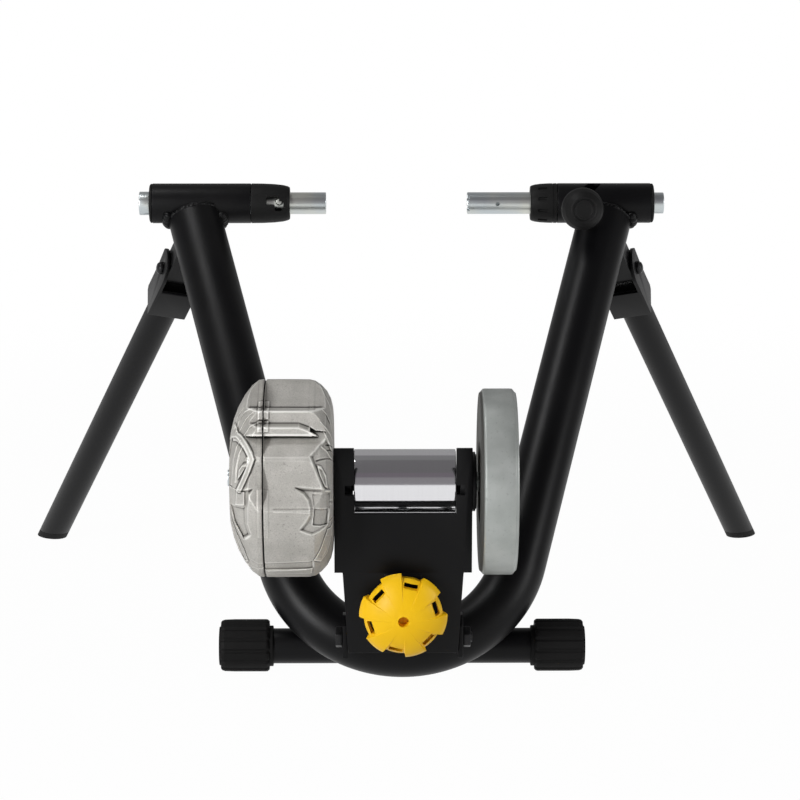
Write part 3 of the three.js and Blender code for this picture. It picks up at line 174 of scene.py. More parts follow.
class Finish:
    """A procedural material on Object coordinates."""

    def __init__(self, name, **sockets):
        self.data = bpy.data.materials.new(name)
        self.data.use_nodes = True
        self.tree = self.data.node_tree
        self.shader = self.tree.nodes["Principled BSDF"]
        self.output = self.tree.nodes["Material Output"]
        self.place = self.node("ShaderNodeTexCoord", {}, {}, "Object")
        for socket, value in sockets.items():
            self.feed(socket.replace("_", " "), value)

    def node(self, kind, settings, sockets, output=0):
        """Adds a node, with its settings first and then the values or links of its sockets."""
        made = self.tree.nodes.new(kind)
        for key, value in settings.items():
            if key == "stops":
                self.set_stops(made.color_ramp, value)
            else:
                setattr(made, key, value)
        for key, value in sockets.items():
            self.fill(made.inputs[key], value)
        return Value(self, made.outputs[output])

    def set_stops(self, ramp, stops):
        while len(ramp.elements) > 1:
            ramp.elements.remove(ramp.elements[-1])
        ramp.elements[0].position = stops[0][0]
        ramp.elements[0].color = (*stops[0][1], 1)
        for position, color in stops[1:]:
            ramp.elements.new(position).color = (*color, 1)

    def fill(self, socket, value):
        if isinstance(value, Value):
            self.tree.links.new(value.socket, socket)
        else:
            socket.default_value = value

    def feed(self, name, value):
        color = isinstance(value, tuple) and len(value) == 3
        self.fill(self.shader.inputs[name], (*value, 1) if color else value)

    def noise(self, scale, detail=3, stretch=(1, 1, 1)):
        where = self.place
        if stretch != (1, 1, 1):
            where = self.node("ShaderNodeMapping", {}, {"Vector": self.place, "Scale": stretch})
        return self.node("ShaderNodeTexNoise", {}, {"Vector": where, "Scale": scale, "Detail": detail}, "Fac")

    def mix(self, share, first, second):
        """A colour between the two, by a share from 0 to 1."""
        def four(color):
            return (*color, 1) if isinstance(color, tuple) else color
        mixed = self.tree.nodes.new("ShaderNodeMix")
        mixed.data_type = "RGBA"
        self.fill(mixed.inputs["Factor"], share)
        self.fill(mixed.inputs[6], four(first))
        self.fill(mixed.inputs[7], four(second))
        return Value(self, mixed.outputs[2])

    def rays(self):
        """Whether a ray comes from the camera, off a mirror or through glass."""
        return [self.node("ShaderNodeLightPath", {}, {}, kind)
                for kind in ("Is Camera Ray", "Is Glossy Ray", "Is Transmission Ray")]

    def bump(self, height, distance, strength):
        normal = self.node("ShaderNodeBump", {}, {
            "Height": height, "Distance": distance, "Strength": strength}, "Normal")
        self.feed("Normal", normal)


def satin_black_paint():
    paint = Finish("satin_black_paint", Specular_IOR_Level=0.15)
    dust = paint.noise(9, 4).above(0.62, 0.3)
    grain = paint.noise(1500, 2)
    paint.feed("Base Color", paint.mix(dust * 0.35, (0.0025, 0.0025, 0.003), (0.009, 0.0088, 0.0086)))
    paint.feed("Roughness", 0.36 + dust * 0.08 + grain * 0.06)
    paint.bump(grain + paint.noise(260, 2) * 0.6, 0.00009, 0.35)
    return paint


def moulded_black():
    plastic = Finish("moulded_black", Specular_IOR_Level=0.12)
    grain = plastic.noise(2600, 2)
    cloud = plastic.noise(22, 3)
    plastic.feed("Base Color", plastic.mix(cloud, (0.006, 0.006, 0.006), (0.011, 0.011, 0.011)))
    plastic.feed("Roughness", 0.46 + cloud * 0.12)
    plastic.bump(grain, 0.00008, 0.5)
    return plastic


def black_rubber():
    rubber = Finish("black_rubber", Specular_IOR_Level=0.12)
    cloud = rubber.noise(14, 4)
    grain = rubber.noise(1900, 2)
    rubber.feed("Base Color", rubber.mix(cloud, (0.004, 0.004, 0.004), (0.008, 0.0078, 0.0078)))
    rubber.feed("Roughness", 0.55 + cloud * 0.15)
    rubber.bump(grain, 0.0001, 0.5)
    return rubber


def zinc_plate():
    zinc = Finish("zinc_plate", Metallic=1.0)
    around = zinc.noise(420, 3, (0.06, 1, 1))
    cloud = zinc.noise(30, 3)
    tint = zinc.mix(cloud.above(0.5, 0.4), (0.58, 0.635, 0.66), (0.70, 0.71, 0.65))
    zinc.feed("Base Color", zinc.mix(around * 0.25, tint, (0.45, 0.46, 0.46)))
    zinc.feed("Roughness", 0.24 + cloud * 0.1 + around * 0.08)
    zinc.bump(around, 0.00004, 0.4)
    return zinc


def polished_chrome():
    chrome = Finish("polished_chrome", Metallic=1.0)
    rings = chrome.noise(900, 2, (1, 0.02, 0.02))
    cloud = chrome.noise(16, 2)
    chrome.feed("Base Color", chrome.mix(rings * 0.2, (0.8, 0.8, 0.82), (0.62, 0.6, 0.62)))
    chrome.feed("Roughness", 0.07 + rings * 0.05 + cloud * 0.03)
    chrome.bump(rings, 0.00002, 0.25)
    return chrome


def machined_steel():
    """Turned steel, with painted shade darkening the flywheel's inner face, which is also made rougher."""
    steel = Finish("machined_steel", Metallic=0.6)
    mottle = steel.noise(38, 5).above(0.5, 0.5)
    speck = steel.noise(420, 3).above(0.66, 0.1)
    rings = steel.noise(700, 2, (1, 0.03, 0.03))
    ground = steel.mix(mottle, (0.34, 0.36, 0.345), (0.45, 0.47, 0.455))
    across = steel.node("ShaderNodeSeparateXYZ", {}, {"Vector": steel.place}, "X") * MILLIMETRES
    # Painted shade: the flywheel's inner face, between these places across the axle in millimetres, is
    # darkened for the shade it lies in, and made rougher.
    shade_start, shade_end = 65.8, 68.6
    shaded_face = across.above(shade_start, 0.4) * (1 - across.above(shade_end, 0.8))
    speckled = steel.mix(speck * 0.3, ground, (0.22, 0.23, 0.22))
    steel.feed("Base Color", steel.mix(shaded_face, speckled, (0.07, 0.07, 0.065)))
    steel.feed("Roughness", 0.42 + mottle * 0.1 + rings * 0.06 + shaded_face * 0.2)
    steel.bump(rings + mottle * 0.3, 0.00008, 0.3)
    return steel


def sand_cast_alloy():
    """Cast skin, lighter on ridges where its attribute is high, as worn edges and painted highlight, and
    darker in its creases and hollows, as painted shade.
    """
    alloy = Finish("sand_cast_alloy", Metallic=0.5, Specular_IOR_Level=0.4)
    speckle = alloy.noise(1300, 2)
    patches = alloy.noise(46, 5)
    pits = alloy.noise(620, 2).above(0.66, 0.08)
    # The attribute, made when the casing is pressed, holds painted light: below 0 in creases and hollows,
    # above 0 on ridges.
    wear = alloy.node("ShaderNodeAttribute", {"attribute_name": "wear"}, {}, "Fac")
    ground = alloy.mix(patches.above(0.5, 0.5), (0.45, 0.435, 0.405), (0.58, 0.565, 0.53))
    grainy = alloy.mix(speckle.above(0.5, 0.3) * 0.45, ground, (0.33, 0.32, 0.3))
    pitted = alloy.mix(pits * 0.5, grainy, (0.24, 0.23, 0.22))
    # Lighter on ridges, as worn edges and painted highlight; then nearly black in creases and hollows, as
    # painted shade.
    worn_and_highlighted = alloy.mix((wear * 2.2).above(0.5, 1.0), pitted, (0.86, 0.85, 0.81))
    alloy.feed("Base Color", alloy.mix((wear * -1.6).above(0.5, 1.0), worn_and_highlighted, (0.07, 0.066, 0.06)))
    alloy.feed("Roughness", 0.5 + speckle * 0.2)
    alloy.bump(speckle * 0.7 + patches * 0.5 - pits, 0.00025, 0.6)
    return alloy


def black_oxide():
    oxide = Finish("black_oxide", Metallic=0.6)
    # Here the mask marks only worn patches, lighter at random.
    wear = oxide.noise(240, 3).above(0.64, 0.14)
    oxide.feed("Base Color", oxide.mix(wear * 0.4, (0.014, 0.014, 0.015), (0.07, 0.068, 0.065)))
    oxide.feed("Roughness", 0.38 + wear * 0.15)
    oxide.bump(oxide.noise(900, 2), 0.00004, 0.4)
    return oxide


def yellow_plastic():
    plastic = Finish("yellow_plastic", Specular_IOR_Level=0.22)
    cloud = plastic.noise(35, 3)
    grain = plastic.noise(1400, 2)
    plastic.feed("Base Color", plastic.mix(cloud, (0.86, 0.49, 0.004), (0.92, 0.56, 0.008)))
    plastic.feed("Roughness", 0.36 + grain * 0.1)
    plastic.bump(grain, 0.00005, 0.4)
    return plastic


FINISHES = {
    "satin_black_paint": satin_black_paint(), "black_plastic": moulded_black(),
    "black_rubber": black_rubber(), "zinc_plate": zinc_plate(), "chromed_roller": polished_chrome(),
    "machined_steel": machined_steel(), "cast_alloy": sand_cast_alloy(), "black_oxide": black_oxide(),
    "yellow_plastic": yellow_plastic(),
}
PAINT, OXIDE = FINISHES["satin_black_paint"], FINISHES["black_oxide"]
SLOT_OF = {row["node"]: row["material_slot"] for row in frame["record"]["subparts"]}
BODY_OF = {node: body for body, members in frame["record"]["behaviour"]["bodies"].items() for node in members}
# The solids that no piece below stands for are shown as they are, each in its slot's finish
for name, node in frame["nodes"].items():
    node.data.materials.clear()
    node.data.materials.append(FINISHES[SLOT_OF[name]].data)


# Shapes: each function gives a bmesh in its own piece's frame, in millimetres unless it says metres
def rounded(profile, radius, steps=4):
    """Rounds the corners of a line of (x, radius) points."""
    points = [Vector(p) for p in profile]
    out = [points[0]]
    for before, corner, after in zip(points, points[1:], points[2:]):
        back, on = before - corner, after - corner
        if back.length < 1e-6 or on.length < 1e-6:
            continue
        half = back.angle(on) / 2
        if half > math.radians(84):
            out.append(corner)
            continue
        reach = min(radius / math.tan(half), back.length * 0.45, on.length * 0.45)
        start, end = corner + back.normalized() * reach, corner + on.normalized() * reach
        for i in range(steps + 1):
            share = i / steps
            out.append(start.lerp(corner, share).lerp(corner.lerp(end, share), share))
    out.append(points[-1])
    return [tuple(p) for p in out]


def turned(profile, steps=96):
    """A turned piece about X, from a line of (x, radius) points."""
    bm = bmesh.new()
    corners = [bm.verts.new((x, 0, max(radius, 0))) for x, radius in profile]
    edges = [bm.edges.new(pair) for pair in zip(corners, corners[1:])]
    bmesh.ops.spin(bm, geom=corners + edges, cent=(0, 0, 0), axis=(1, 0, 0), angle=math.tau,
                   steps=steps, use_merge=True)
    return cleaned(bm)


def wrapped(profile, angles, pressed=None):
    """A turned piece of many steps: a flat grid rolled up about X, and then pressed into its final shape."""
    bm = bmesh.new()
    last, around = len(profile) - 1, len(angles) - 1
    bmesh.ops.create_grid(bm, x_segments=last, y_segments=around, size=1)
    x, radius = np.array(profile).T[:, :, None]
    places = np.stack(np.broadcast_arrays(x, radius * np.cos(angles), radius * np.sin(angles)), 2)
    # The pressed shape may also give a value for each vertex, kept as an attribute; on the casing it carries
    # painted shade and highlight.
    wear = None
    if pressed:
        places, wear = pressed(places)
        layer = bm.verts.layers.float.new("wear")
    for vert in bm.verts:
        i, j = round((vert.co.x + 1) / 2 * last), round((vert.co.y + 1) / 2 * around)
        vert.co = places[i, j]
        if pressed:
            vert[layer] = wear[i, j]
    return cleaned(bm)


def cleaned(bm):
    bmesh.ops.remove_doubles(bm, verts=bm.verts, dist=0.002)
    bmesh.ops.dissolve_degenerate(bm, dist=0.001, edges=bm.edges)
    bmesh.ops.recalc_face_normals(bm, faces=bm.faces)
    return bm


def rod(x0, x1, radius, edge=0.6, steps=64):
    return turned(rounded([(x0, 0), (x0, radius), (x1, radius), (x1, 0)], edge), steps)


def ring(x0, x1, outer, inner, edge=0.5, steps=96):
    middle = (x0 + x1) / 2
    profile = [(middle, inner), (x0, inner), (x0, outer), (x1, outer), (x1, inner), (middle, inner)]
    return turned(rounded(profile, edge), steps)


def brick(x0, x1, y0, y1, z0, z1):
    bm = bmesh.new()
    middle = Matrix.Translation(((x0 + x1) / 2, (y0 + y1) / 2, (z0 + z1) / 2))
    bmesh.ops.create_cube(bm, size=1, matrix=middle @ Matrix.Diagonal((x1 - x0, y1 - y0, z1 - z0, 1)))
    return bm


def moved(bm, matrix):
    bmesh.ops.transform(bm, matrix=matrix, verts=bm.verts)
    return bm


def joined(*shapes):
    """Puts shapes together in the first one."""
    first = shapes[0]
    for other in shapes[1:]:
        scratch = bpy.data.meshes.new("scratch")
        other.to_mesh(scratch)
        first.from_mesh(scratch)
        other.free()
        bpy.data.meshes.remove(scratch)
    return first


def scratch_object(bm):
    mesh = bpy.data.meshes.new("scratch")
    bm.to_mesh(mesh)
    bm.free()
    made = bpy.data.objects.new("scratch", mesh)
    bpy.context.scene.collection.objects.link(made)
    return made


def carved(bm, *cutters):
    """The shape with the cutters taken out of it."""
    body = scratch_object(bm)
    tools = [scratch_object(cutter) for cutter in cutters]
    for tool in tools:
        cut = body.modifiers.new("cut", "BOOLEAN")
        cut.operation = "DIFFERENCE"
        cut.solver = "EXACT"
        cut.object = tool
    graph = bpy.context.evaluated_depsgraph_get()
    result = bmesh.new()
    result.from_mesh(body.evaluated_get(graph).to_mesh())
    for made in [body, *tools]:
        mesh = made.data
        bpy.data.objects.remove(made)
        bpy.data.meshes.remove(mesh)
    bmesh.ops.remove_doubles(result, verts=result.verts, dist=0.001)
    return result


def softened(bm, width, segments=2, angle=28):
    """Bevels the edges that turn by more than the angle."""
    sharp = [e for e in bm.edges if len(e.link_faces) == 2 and e.calc_face_angle() > math.radians(angle)]
    bmesh.ops.bevel(bm, geom=sharp, offset=width, offset_type="OFFSET", segments=segments, profile=0.5,
                    affect="EDGES", clamp_overlap=True, material=-1)
    return bm


def solid_copy(node, width, segments=2, angle=28):
    """The node's own solid with its edges softened, in metres."""
    bm = bmesh.new()
    bm.from_mesh(frame["nodes"][node].data)
    moved(bm, Matrix.Scale(MILLIMETRES, 4))
    bmesh.ops.remove_doubles(bm, verts=bm.verts, dist=0.01)
    bmesh.ops.dissolve_limit(bm, angle_limit=math.radians(0.8), verts=bm.verts, edges=bm.edges)
    softened(bm, width, segments, angle)
    return moved(bm, Matrix.Scale(1 / MILLIMETRES, 4))


def piece(name, bm, place, finish, body, *nodes, crease=32):
    """Makes the shape a piece of the scene, which stands for the nodes."""
    if place is not None:
        moved(bm, place)
    mesh = bpy.data.meshes.new(name)
    bm.to_mesh(mesh)
    bm.free()
    mesh.materials.append(finish.data)
    mesh.shade_smooth()
    mesh.set_sharp_from_angle(angle=math.radians(crease))
    made = bpy.data.objects.new(name, mesh)
    bpy.context.scene.collection.objects.link(made)
    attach(made, body)
    if nodes:
        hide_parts(*nodes)
    return made


def shown(node, bm, place, **options):
    """The piece that stands for one node, with that node's finish and body."""
    return piece(node + "_shown", bm, place, FINISHES[SLOT_OF[node]], BODY_OF[node], node, **options)


def weld_bead(points, radius, seed, flat=0.8, rough=0.14, pace=0.62):
    """A run of overlapping drops along a line, as a welder leaves them."""
    chance = random.Random(seed)
    line = [Vector(p) for p in points]
    bm = bmesh.new()
    for start, end in zip(line, line[1:]):
        count = max(1, round((end - start).length / (radius * pace)))
        for i in range(count):
            at = start.lerp(end, i / count)
            size = radius * chance.uniform(1 - rough, 1 + rough)
            drop = Matrix.Translation(at) @ (end - start).to_track_quat("X", "Z").to_matrix().to_4x4()
            drop = drop @ Matrix.Rotation(chance.uniform(0.2, 0.5), 4, "Y") @ Matrix.Diagonal((flat, 1, 1, 1))
            bmesh.ops.create_uvsphere(bm, u_segments=12, v_segments=8, radius=size, matrix=drop)
    return bm


# Main tube, crossbar and their welds
def main_tube():
    turn = math.pi / 2 - SPLAY
    arm = (ARM_RISE - BEND_END_RISE) / math.cos(SPLAY) - ARM_SHORT
    along = Vector((math.sin(SPLAY), -math.cos(SPLAY), 0))
    bm = bmesh.new()
    start = Matrix.Translation(Vector((-BEND_END_X, BEND_END_RISE, 0)) - along * arm)
    bmesh.ops.create_circle(bm, cap_ends=True, radius=MAIN_TUBE, segments=72,
                            matrix=start @ along.to_track_quat("Z", "X").to_matrix().to_4x4())
    made = bmesh.ops.extrude_edge_only(bm, edges=list(bm.edges))["geom"]
    verts = [g for g in made if isinstance(g, bmesh.types.BMVert)]
    edges = [g for g in made if isinstance(g, bmesh.types.BMEdge)]
    bmesh.ops.translate(bm, vec=along * arm, verts=verts)
    made = bmesh.ops.spin(bm, geom=edges + verts, cent=(0, BEND_RADIUS, 0), axis=(0, 0, 1), angle=2 * turn,
                          steps=72)["geom_last"]
    edges = [g for g in made if isinstance(g, bmesh.types.BMEdge)]
    made = bmesh.ops.extrude_edge_only(bm, edges=edges)["geom"]
    verts = [g for g in made if isinstance(g, bmesh.types.BMVert)]
    bmesh.ops.translate(bm, vec=Vector((math.sin(SPLAY), math.cos(SPLAY), 0)) * arm, verts=verts)
    bmesh.ops.holes_fill(bm, edges=[e for e in bm.edges if e.is_boundary], sides=0)
    cleaned(bm)
    return softened(bm, 0.9, 3, 60)


shown("main_tube", main_tube(), BEND_PLANE)
shown("crossbar", turned(rounded([(-161, 0), (-161, 15.9), (161, 15.9), (161, 0)], 1)),
      TRAINER @ Matrix.Translation((0, 0, BOOT_AXIS)))


def arm_end_weld(sign):
    """Beads round the arm's end, where it meets the clamp tube."""
    arm = Vector((sign * math.sin(SPLAY), math.cos(SPLAY), 0))
    across = Vector((math.cos(SPLAY), -sign * math.sin(SPLAY), 0))
    top = Vector((sign * (CROSSING - ARM_SHORT * math.sin(SPLAY)), ARM_RISE - ARM_SHORT * math.cos(SPLAY), 0))
    out = Vector((0, 0, 1))
    rim_rise, rim_radius = 1.2, 22.9
    beads = []
    for side in (1, -1):
        rim = [top + arm * rim_rise + (across * math.cos(a) + out * side * math.sin(a)) * rim_radius
               for a in map(math.radians, range(20, 161, 5))]
        beads.append(weld_bead(rim, 2.5, seed=sign + side + 5, flat=1.7, rough=0.26, pace=0.8))
    for side in (-1, 1):
        saddle = []
        for degrees in range(-20, 21, 4):
            height = MAIN_TUBE * math.sin(math.radians(degrees))
            reach = MAIN_TUBE * math.cos(math.radians(degrees)) * side
            drop = math.sqrt(max(CLAMP_TUBE ** 2 - height ** 2, 0))
            back = (drop - sign * reach * math.sin(SPLAY)) / math.cos(SPLAY)
            centre = Vector((sign * CROSSING, ARM_RISE, 0)) - arm * back
            saddle.append(centre + across * reach + out * height)
        beads.append(weld_bead(saddle, 5.6, seed=sign + side * 3 + 9, rough=0.1, pace=0.4))
    return joined(*beads)


for side, sign in SIDES:
    piece(f"arm_weld_{side}", arm_end_weld(sign), BEND_PLANE, PAINT, "frame")


def crossbar_weld():
    """The two runs that join the crossbar to the bend, above and below."""
    runs = []
    for height, setback in ((13.2, -15.5), (-11.2, -16.5)):
        line = [(x, setback - abs(x) * 0.012, BOOT_AXIS + height * (1 - abs(x) / 70))
                for x in range(-40, 41, 5)]
        runs.append(weld_bead(line, 2.6, seed=int(height)))
    return joined(*runs)


piece("crossbar_weld", crossbar_weld(), TRAINER, PAINT, "frame")


# Levelling boots
def boot(sign):
    """A ribbed cap whose round side lies off the crossbar's axis."""
    outer, groove_depth = 23.75, 1.4
    grooves = 14
    steps = grooves * 14
    bm = bmesh.new()
    outline = []
    for i in range(steps):
        angle = math.tau * i / steps
        wave = math.cos(grooves * (angle + math.pi / 2))
        dip = max(0.0, (-wave - 0.45) / 0.55)
        radius = outer - groove_depth * dip ** 0.7
        outline.append(bm.verts.new((0, BOOT_SHIFT + radius * math.cos(angle), radius * math.sin(angle))))
    first = bm.faces.new(outline)
    levels = [(120.2, 0.93), (121.6, 0.985), (123, 1.0), (152, 1.0), (160.5, 0.985), (163, 0.95), (164, 0.9)]
    bmesh.ops.translate(bm, vec=(levels[0][0], 0, 0), verts=bm.verts)
    scale_about(bm, first.verts, levels[0][1])
    face = first
    for (before, share_before), (at, share) in zip(levels, levels[1:]):
        made = bmesh.ops.extrude_face_region(bm, geom=[face])["geom"]
        face = next(g for g in made if isinstance(g, bmesh.types.BMFace))
        bmesh.ops.translate(bm, vec=(at - before, 0, 0), verts=face.verts)
        scale_about(bm, face.verts, share / share_before)
    bmesh.ops.recalc_face_normals(bm, faces=bm.faces)
    collar = ring(116.5, 122, 18.4, 15.2, 0.8)
    cap = turned(rounded([(162, 0), (162, 17.5), (165.4, 17.5), (165.4, 12.5), (164.9, 12), (164.9, 0)], 0.5))
    shape = joined(bm, collar, cap)
    if sign < 0:
        bmesh.ops.scale(shape, vec=(-1, 1, 1), verts=shape.verts)
        bmesh.ops.reverse_faces(shape, faces=shape.faces)
    return shape


def scale_about(bm, verts, share):
    about = Matrix.Translation((0, -BOOT_SHIFT, 0))
    bmesh.ops.scale(bm, vec=(1, share, share), verts=list(verts), space=about)


for side, sign in SIDES:
    shown(f"levelling_boot_{side}", boot(sign), TRAINER @ Matrix.Translation((0, 0, BOOT_AXIS)), crease=40)


# Axle clamps: place, the tube's inner and outer end, the nose's end and its radius there, the spindle's
# tip and the radius of its tail
CLAMPS = {
    "left": (CLAMP_LEFT, 142.9, 239.9, 105.5, 15.2, 70.9, 11.2),
    "right": (CLAMP_RIGHT, 150.9, 243.2, 125, 16, 64.5, 10.1),
}


def lever_direction():
    along = Vector((math.sin(LEVER_SLANT), -math.cos(LEVER_SLANT), 0))
    return along.to_track_quat("X", "Z").to_matrix().to_4x4()


def lever_slot():
    """Round holes along the helix that the lever's rod sweeps."""
    holes = []
    last = 12
    for i in range(last + 1):
        share = i / last
        turn = Matrix.Rotation(-LEVER_SWING * share, 4, "X")
        along = Matrix.Translation((LEVER_X + LEVER_STROKE * share, 0, 0))
        holes.append(moved(rod(8, 26, 5.7, 0.1, 24), along @ turn @ lever_direction()))
    return holes


def nose_collar(side, inner, end, tip):
    """The plastic nose, with the pin's slot on the left and grip slots on the right."""
    start = inner - 0.3
    shares = [(0, 1), (0.3, 0.97), (0.6, 0.84), (0.82, 0.6), (0.94, 0.32), (1, 0)]
    taper = [(start - (start - end) * s, tip + (CLAMP_TUBE - tip) * r) for s, r in shares]
    shape = turned(rounded([(start, 11), *taper, (end, 10.9), (start, 10.9)], 0.9), 128)
    cuts = []
    if side == "left":
        pin = Matrix.Rotation(PIN_TURN, 4, "X")
        leg = brick(PIN_X, 127.5, 8, 24, -4.2, 4.2)
        lock = brick(111.3, 119.7, 8, 24, -9.2, 0)
        for bm in (leg, lock):
            softened(bm, 1.4, 3)
            cuts.append(moved(bm, pin))
    else:
        grips = 10
        for i in range(grips):
            slot = softened(brick(132, 141, -1.6, 1.6, 16.7, 24), 0.7, 2)
            cuts.append(moved(slot, Matrix.Rotation(math.tau * i / grips, 4, "X")))
        cuts.append(ring(146.4, 147.2, 24, 18.4, 0.05))
    return carved(shape, *cuts)


def spindle(side, outer, tip, tail):
    """A spindle with a cup for the axle in its tip. The right one has teeth and a small hole."""
    back = outer + 0.3
    shape = turned(rounded([
        (tip + 9, 0), (tip + 9, 7.5), (tip, 7.5), (tip, SPINDLE), (back, SPINDLE), (back, tail),
        (back + 9.6, tail), (back + 9.6, 4.2), (back + 7.6, 3.4), (back + 7.6, 0)], 0.8), 96)
    cuts = []
    if side == "right":
        teeth = 6
        for i in range(teeth):
            notch = brick(tip - 6, tip + 2.2, -1.7, 1.7, 3.7, 21)
            cuts.append(moved(notch, Matrix.Rotation(math.tau * i / teeth, 4, "X")))
        cuts.append(moved(rod(-4, 21, 1.9, 0.1, 24),
                          Matrix.Translation((tip + 29, 0, 0)) @ Matrix.Rotation(-math.pi / 2, 4, "Z")))
    return carved(shape, *cuts) if cuts else shape


for side, (place, inner, outer, end, tip_radius, tip, tail) in CLAMPS.items():
    edge = outer - 2.8
    tube = ring(inner, edge, CLAMP_TUBE, 16.85, 0.6, 128)
    shown(f"clamp_tube_{side}", carved(tube, *lever_slot()) if side == "right" else tube, place)
    shown(f"nose_collar_{side}", nose_collar(side, inner, end, tip_radius), place, crease=24)
    flange = outer - 2.5
    bush = turned(rounded([
        (flange - 8, 10.85), (flange - 16, 10.85), (flange - 16, 16.5), (flange, 16.5), (flange, 18.75),
        (outer - 0.8, 18.6), (outer, 17.2), (outer, 10.85), (flange - 8, 10.85)], 0.4))
    shown(f"end_bush_{side}", bush, place)
    shown(f"spindle_{side}", spindle(side, outer, tip, tail), place, crease=24)

shown("locating_pin", turned(rounded([(5.6, 0), (5.6, 3.5), (14.3, 3.5), (15.4, 2.4), (15.4, 0)], 0.7), 48),
      CLAMP_LEFT @ Matrix.Rotation(PIN_TURN, 4, "X") @ Matrix.Translation((PIN_X, 0, 0))
      @ Matrix.Rotation(math.pi / 2, 4, "Z"))

LEVER = CLAMP_RIGHT @ Matrix.Translation((LEVER_X, 0, 0)) @ lever_direction()
shown("lever_rod", rod(12.05, 54.7, 4.5, 0.5), LEVER)
knob_line = [(44, 4.9), (44, 8.4), (47.2, 10.2), (51.6, 16.1), (56.6, 19.4), (60, 20.2), (64, 19.6),
             (69, 17.3), (72.6, 14.4), (74.4, 12.6), (74.9, 11.8), (74.3, 10.6), (72.9, 9.6), (72.5, 9.0),
             (72.7, 8.2), (72.2, 7.2), (71.6, 0)]
shown("lever_knob", turned(rounded([(55, 4.9), *knob_line], 2.2, 6), 128), LEVER)


# Rear legs
def leg_tube(place, length):
    """The leg's tube, in metres, which runs on under the floor."""
    end = length + 2 * LEG_TUBE
    shape = turned(rounded([(22, 0), (22, LEG_TUBE), (end, LEG_TUBE), (end, 0)], 1))
    return moved(shape, place @ Matrix.Rotation(-math.pi / 2, 4, "Y"))


def cut_level(bm, height, keep_above):
    """Cuts the shape, in metres, at a height and closes the cut."""
    split = bmesh.ops.bisect_plane(bm, geom=bm.verts[:] + bm.edges[:] + bm.faces[:], dist=1e-7,
                                   plane_co=(0, 0, height), plane_no=(0, 0, 1),
                                   clear_inner=keep_above, clear_outer=not keep_above)
    rim = [g for g in split["geom_cut"] if isinstance(g, bmesh.types.BMEdge)]
    bmesh.ops.holes_fill(bm, edges=rim, sides=0)
    return bm


# In metres, as the cuts are
FOOT_TOP, FOOT_GAP = 0.007, 0.0003
for side, sign in SIDES:
    place, length = hinge_frame(sign)
    shown(f"leg_tube_{side}", cut_level(leg_tube(place, length), FOOT_TOP + FOOT_GAP, True), None)
    foot = cut_level(cut_level(leg_tube(place, length), FOOT_TOP, False), 0.0, True)
    shown(f"foot_{side}", foot, None)
    for node in (f"leg_yoke_{side}", f"hinge_lug_{side}"):
        shown(node, solid_copy(node, 0.9, 3), None)
    for node in (f"hinge_bolt_{side}", f"hinge_nut_{side}"):
        shown(node, solid_copy(node, 0.5, 2, 22), None)

# Roller unit: bracket, ears and pivot
for node, width in (("roller_bracket", 0.9), ("pivot_ear_left", 0.8), ("pivot_ear_right", 0.8),
                    ("adjuster_anchor", 0.8), ("pivot_bolt", 0.7), ("pivot_nut", 0.7), ("adjuster_nut", 0.7)):
    shown(node, solid_copy(node, width), None)
shown("pivot_sleeve", ring(-43.5, 43.5, 8, 5.3), UNIT)

# Roller, shaft and flywheel
shown("roller", turned(rounded([
    (1.65, 8.8), (-42.6, 8.8), (-42.6, 15), (-12.6, 15), (-12.6, 24.5), (-42.6, 24.5), (-42.6, 28.5),
    (45.9, 28.5), (45.9, 24.5), (15.9, 24.5), (15.9, 15), (45.9, 15), (45.9, 8.8), (1.65, 8.8)], 0.9), 160),
    AXLE)
shown("bearing_cup", turned(rounded([
    (55, 20.3), (49.5, 20.3), (49.5, 24), (60, 24), (60, 26), (63, 26), (63, 24), (63.8, 24), (63.8, 16),
    (61.8, 16), (61.8, 20.3), (55, 20.3)], 0.4)), AXLE)
shown("flywheel", turned(rounded([
    (79, 8.8), (74.5, 8.8), (74.5, 33.6), (66.5, 35), (66.5, 77.6), (67.6, 78.4), (69.6, 80.9), (71.4, 81.2),
    (93.4, 81.2), (95.2, 80.9), (97.1, 78.4), (98.2, 77.6), (98.2, 64.2), (92.2, 60.2), (92.2, 34),
    (84.2, 30), (84.2, 8.8), (79, 8.8)], 0.7), 192), AXLE)
for name, start, end in (("left", -51.5, -43.6), ("right", 46.7, 49.3)):
    piece(f"shaft_spacer_{name}", ring(start, end, 15.5, 8.6, 1.2), AXLE, OXIDE, "rotor")
shown("flywheel_washer", ring(84.4, 86.9, 14, 6.3), AXLE)
shown("flywheel_nut", solid_copy("flywheel_nut", 0.8), None)


# Fluid brake: two turned blanks, whose front is pressed in and out along one direction, LEAN above level.
# Places on them are given by x along the axle and degrees round it from the front, or by how far up
# and out they lie. ARC is the length of one degree on the blank. The back is the front turned half round.
CASING = AXLE @ Matrix.Translation((0, 0, CASING_RISE))
LEAN = math.radians(15)
ARC = 1.5
CAST_REACH = 0.62
CASE_SCREWS = [(76 * math.cos(math.radians(a)), 76 * math.sin(math.radians(a))) for a in (63, 153, 243, 333)]
POCKET_FLOOR = -127.5


def polygon_depth(points, x, s):
    """How far inside a polygon of (x, degrees) corners each place is; negative outside."""
    corners = [(px, degrees * ARC) for px, degrees in points]
    nearest = np.full(x.shape, 1e9)
    inside = np.zeros(x.shape, bool)
    for (ax, ay), (bx, by) in zip(corners, corners[1:] + corners[:1]):
        nearest = np.minimum(nearest, segment_distance((ax, ay), (bx, by), x, s))
        crosses = (ay > s) != (by > s)
        slope = (bx - ax) / (by - ay) if by != ay else 0.0
        inside ^= crosses & (x < ax + slope * (s - ay))
    return np.where(inside, nearest, -nearest)


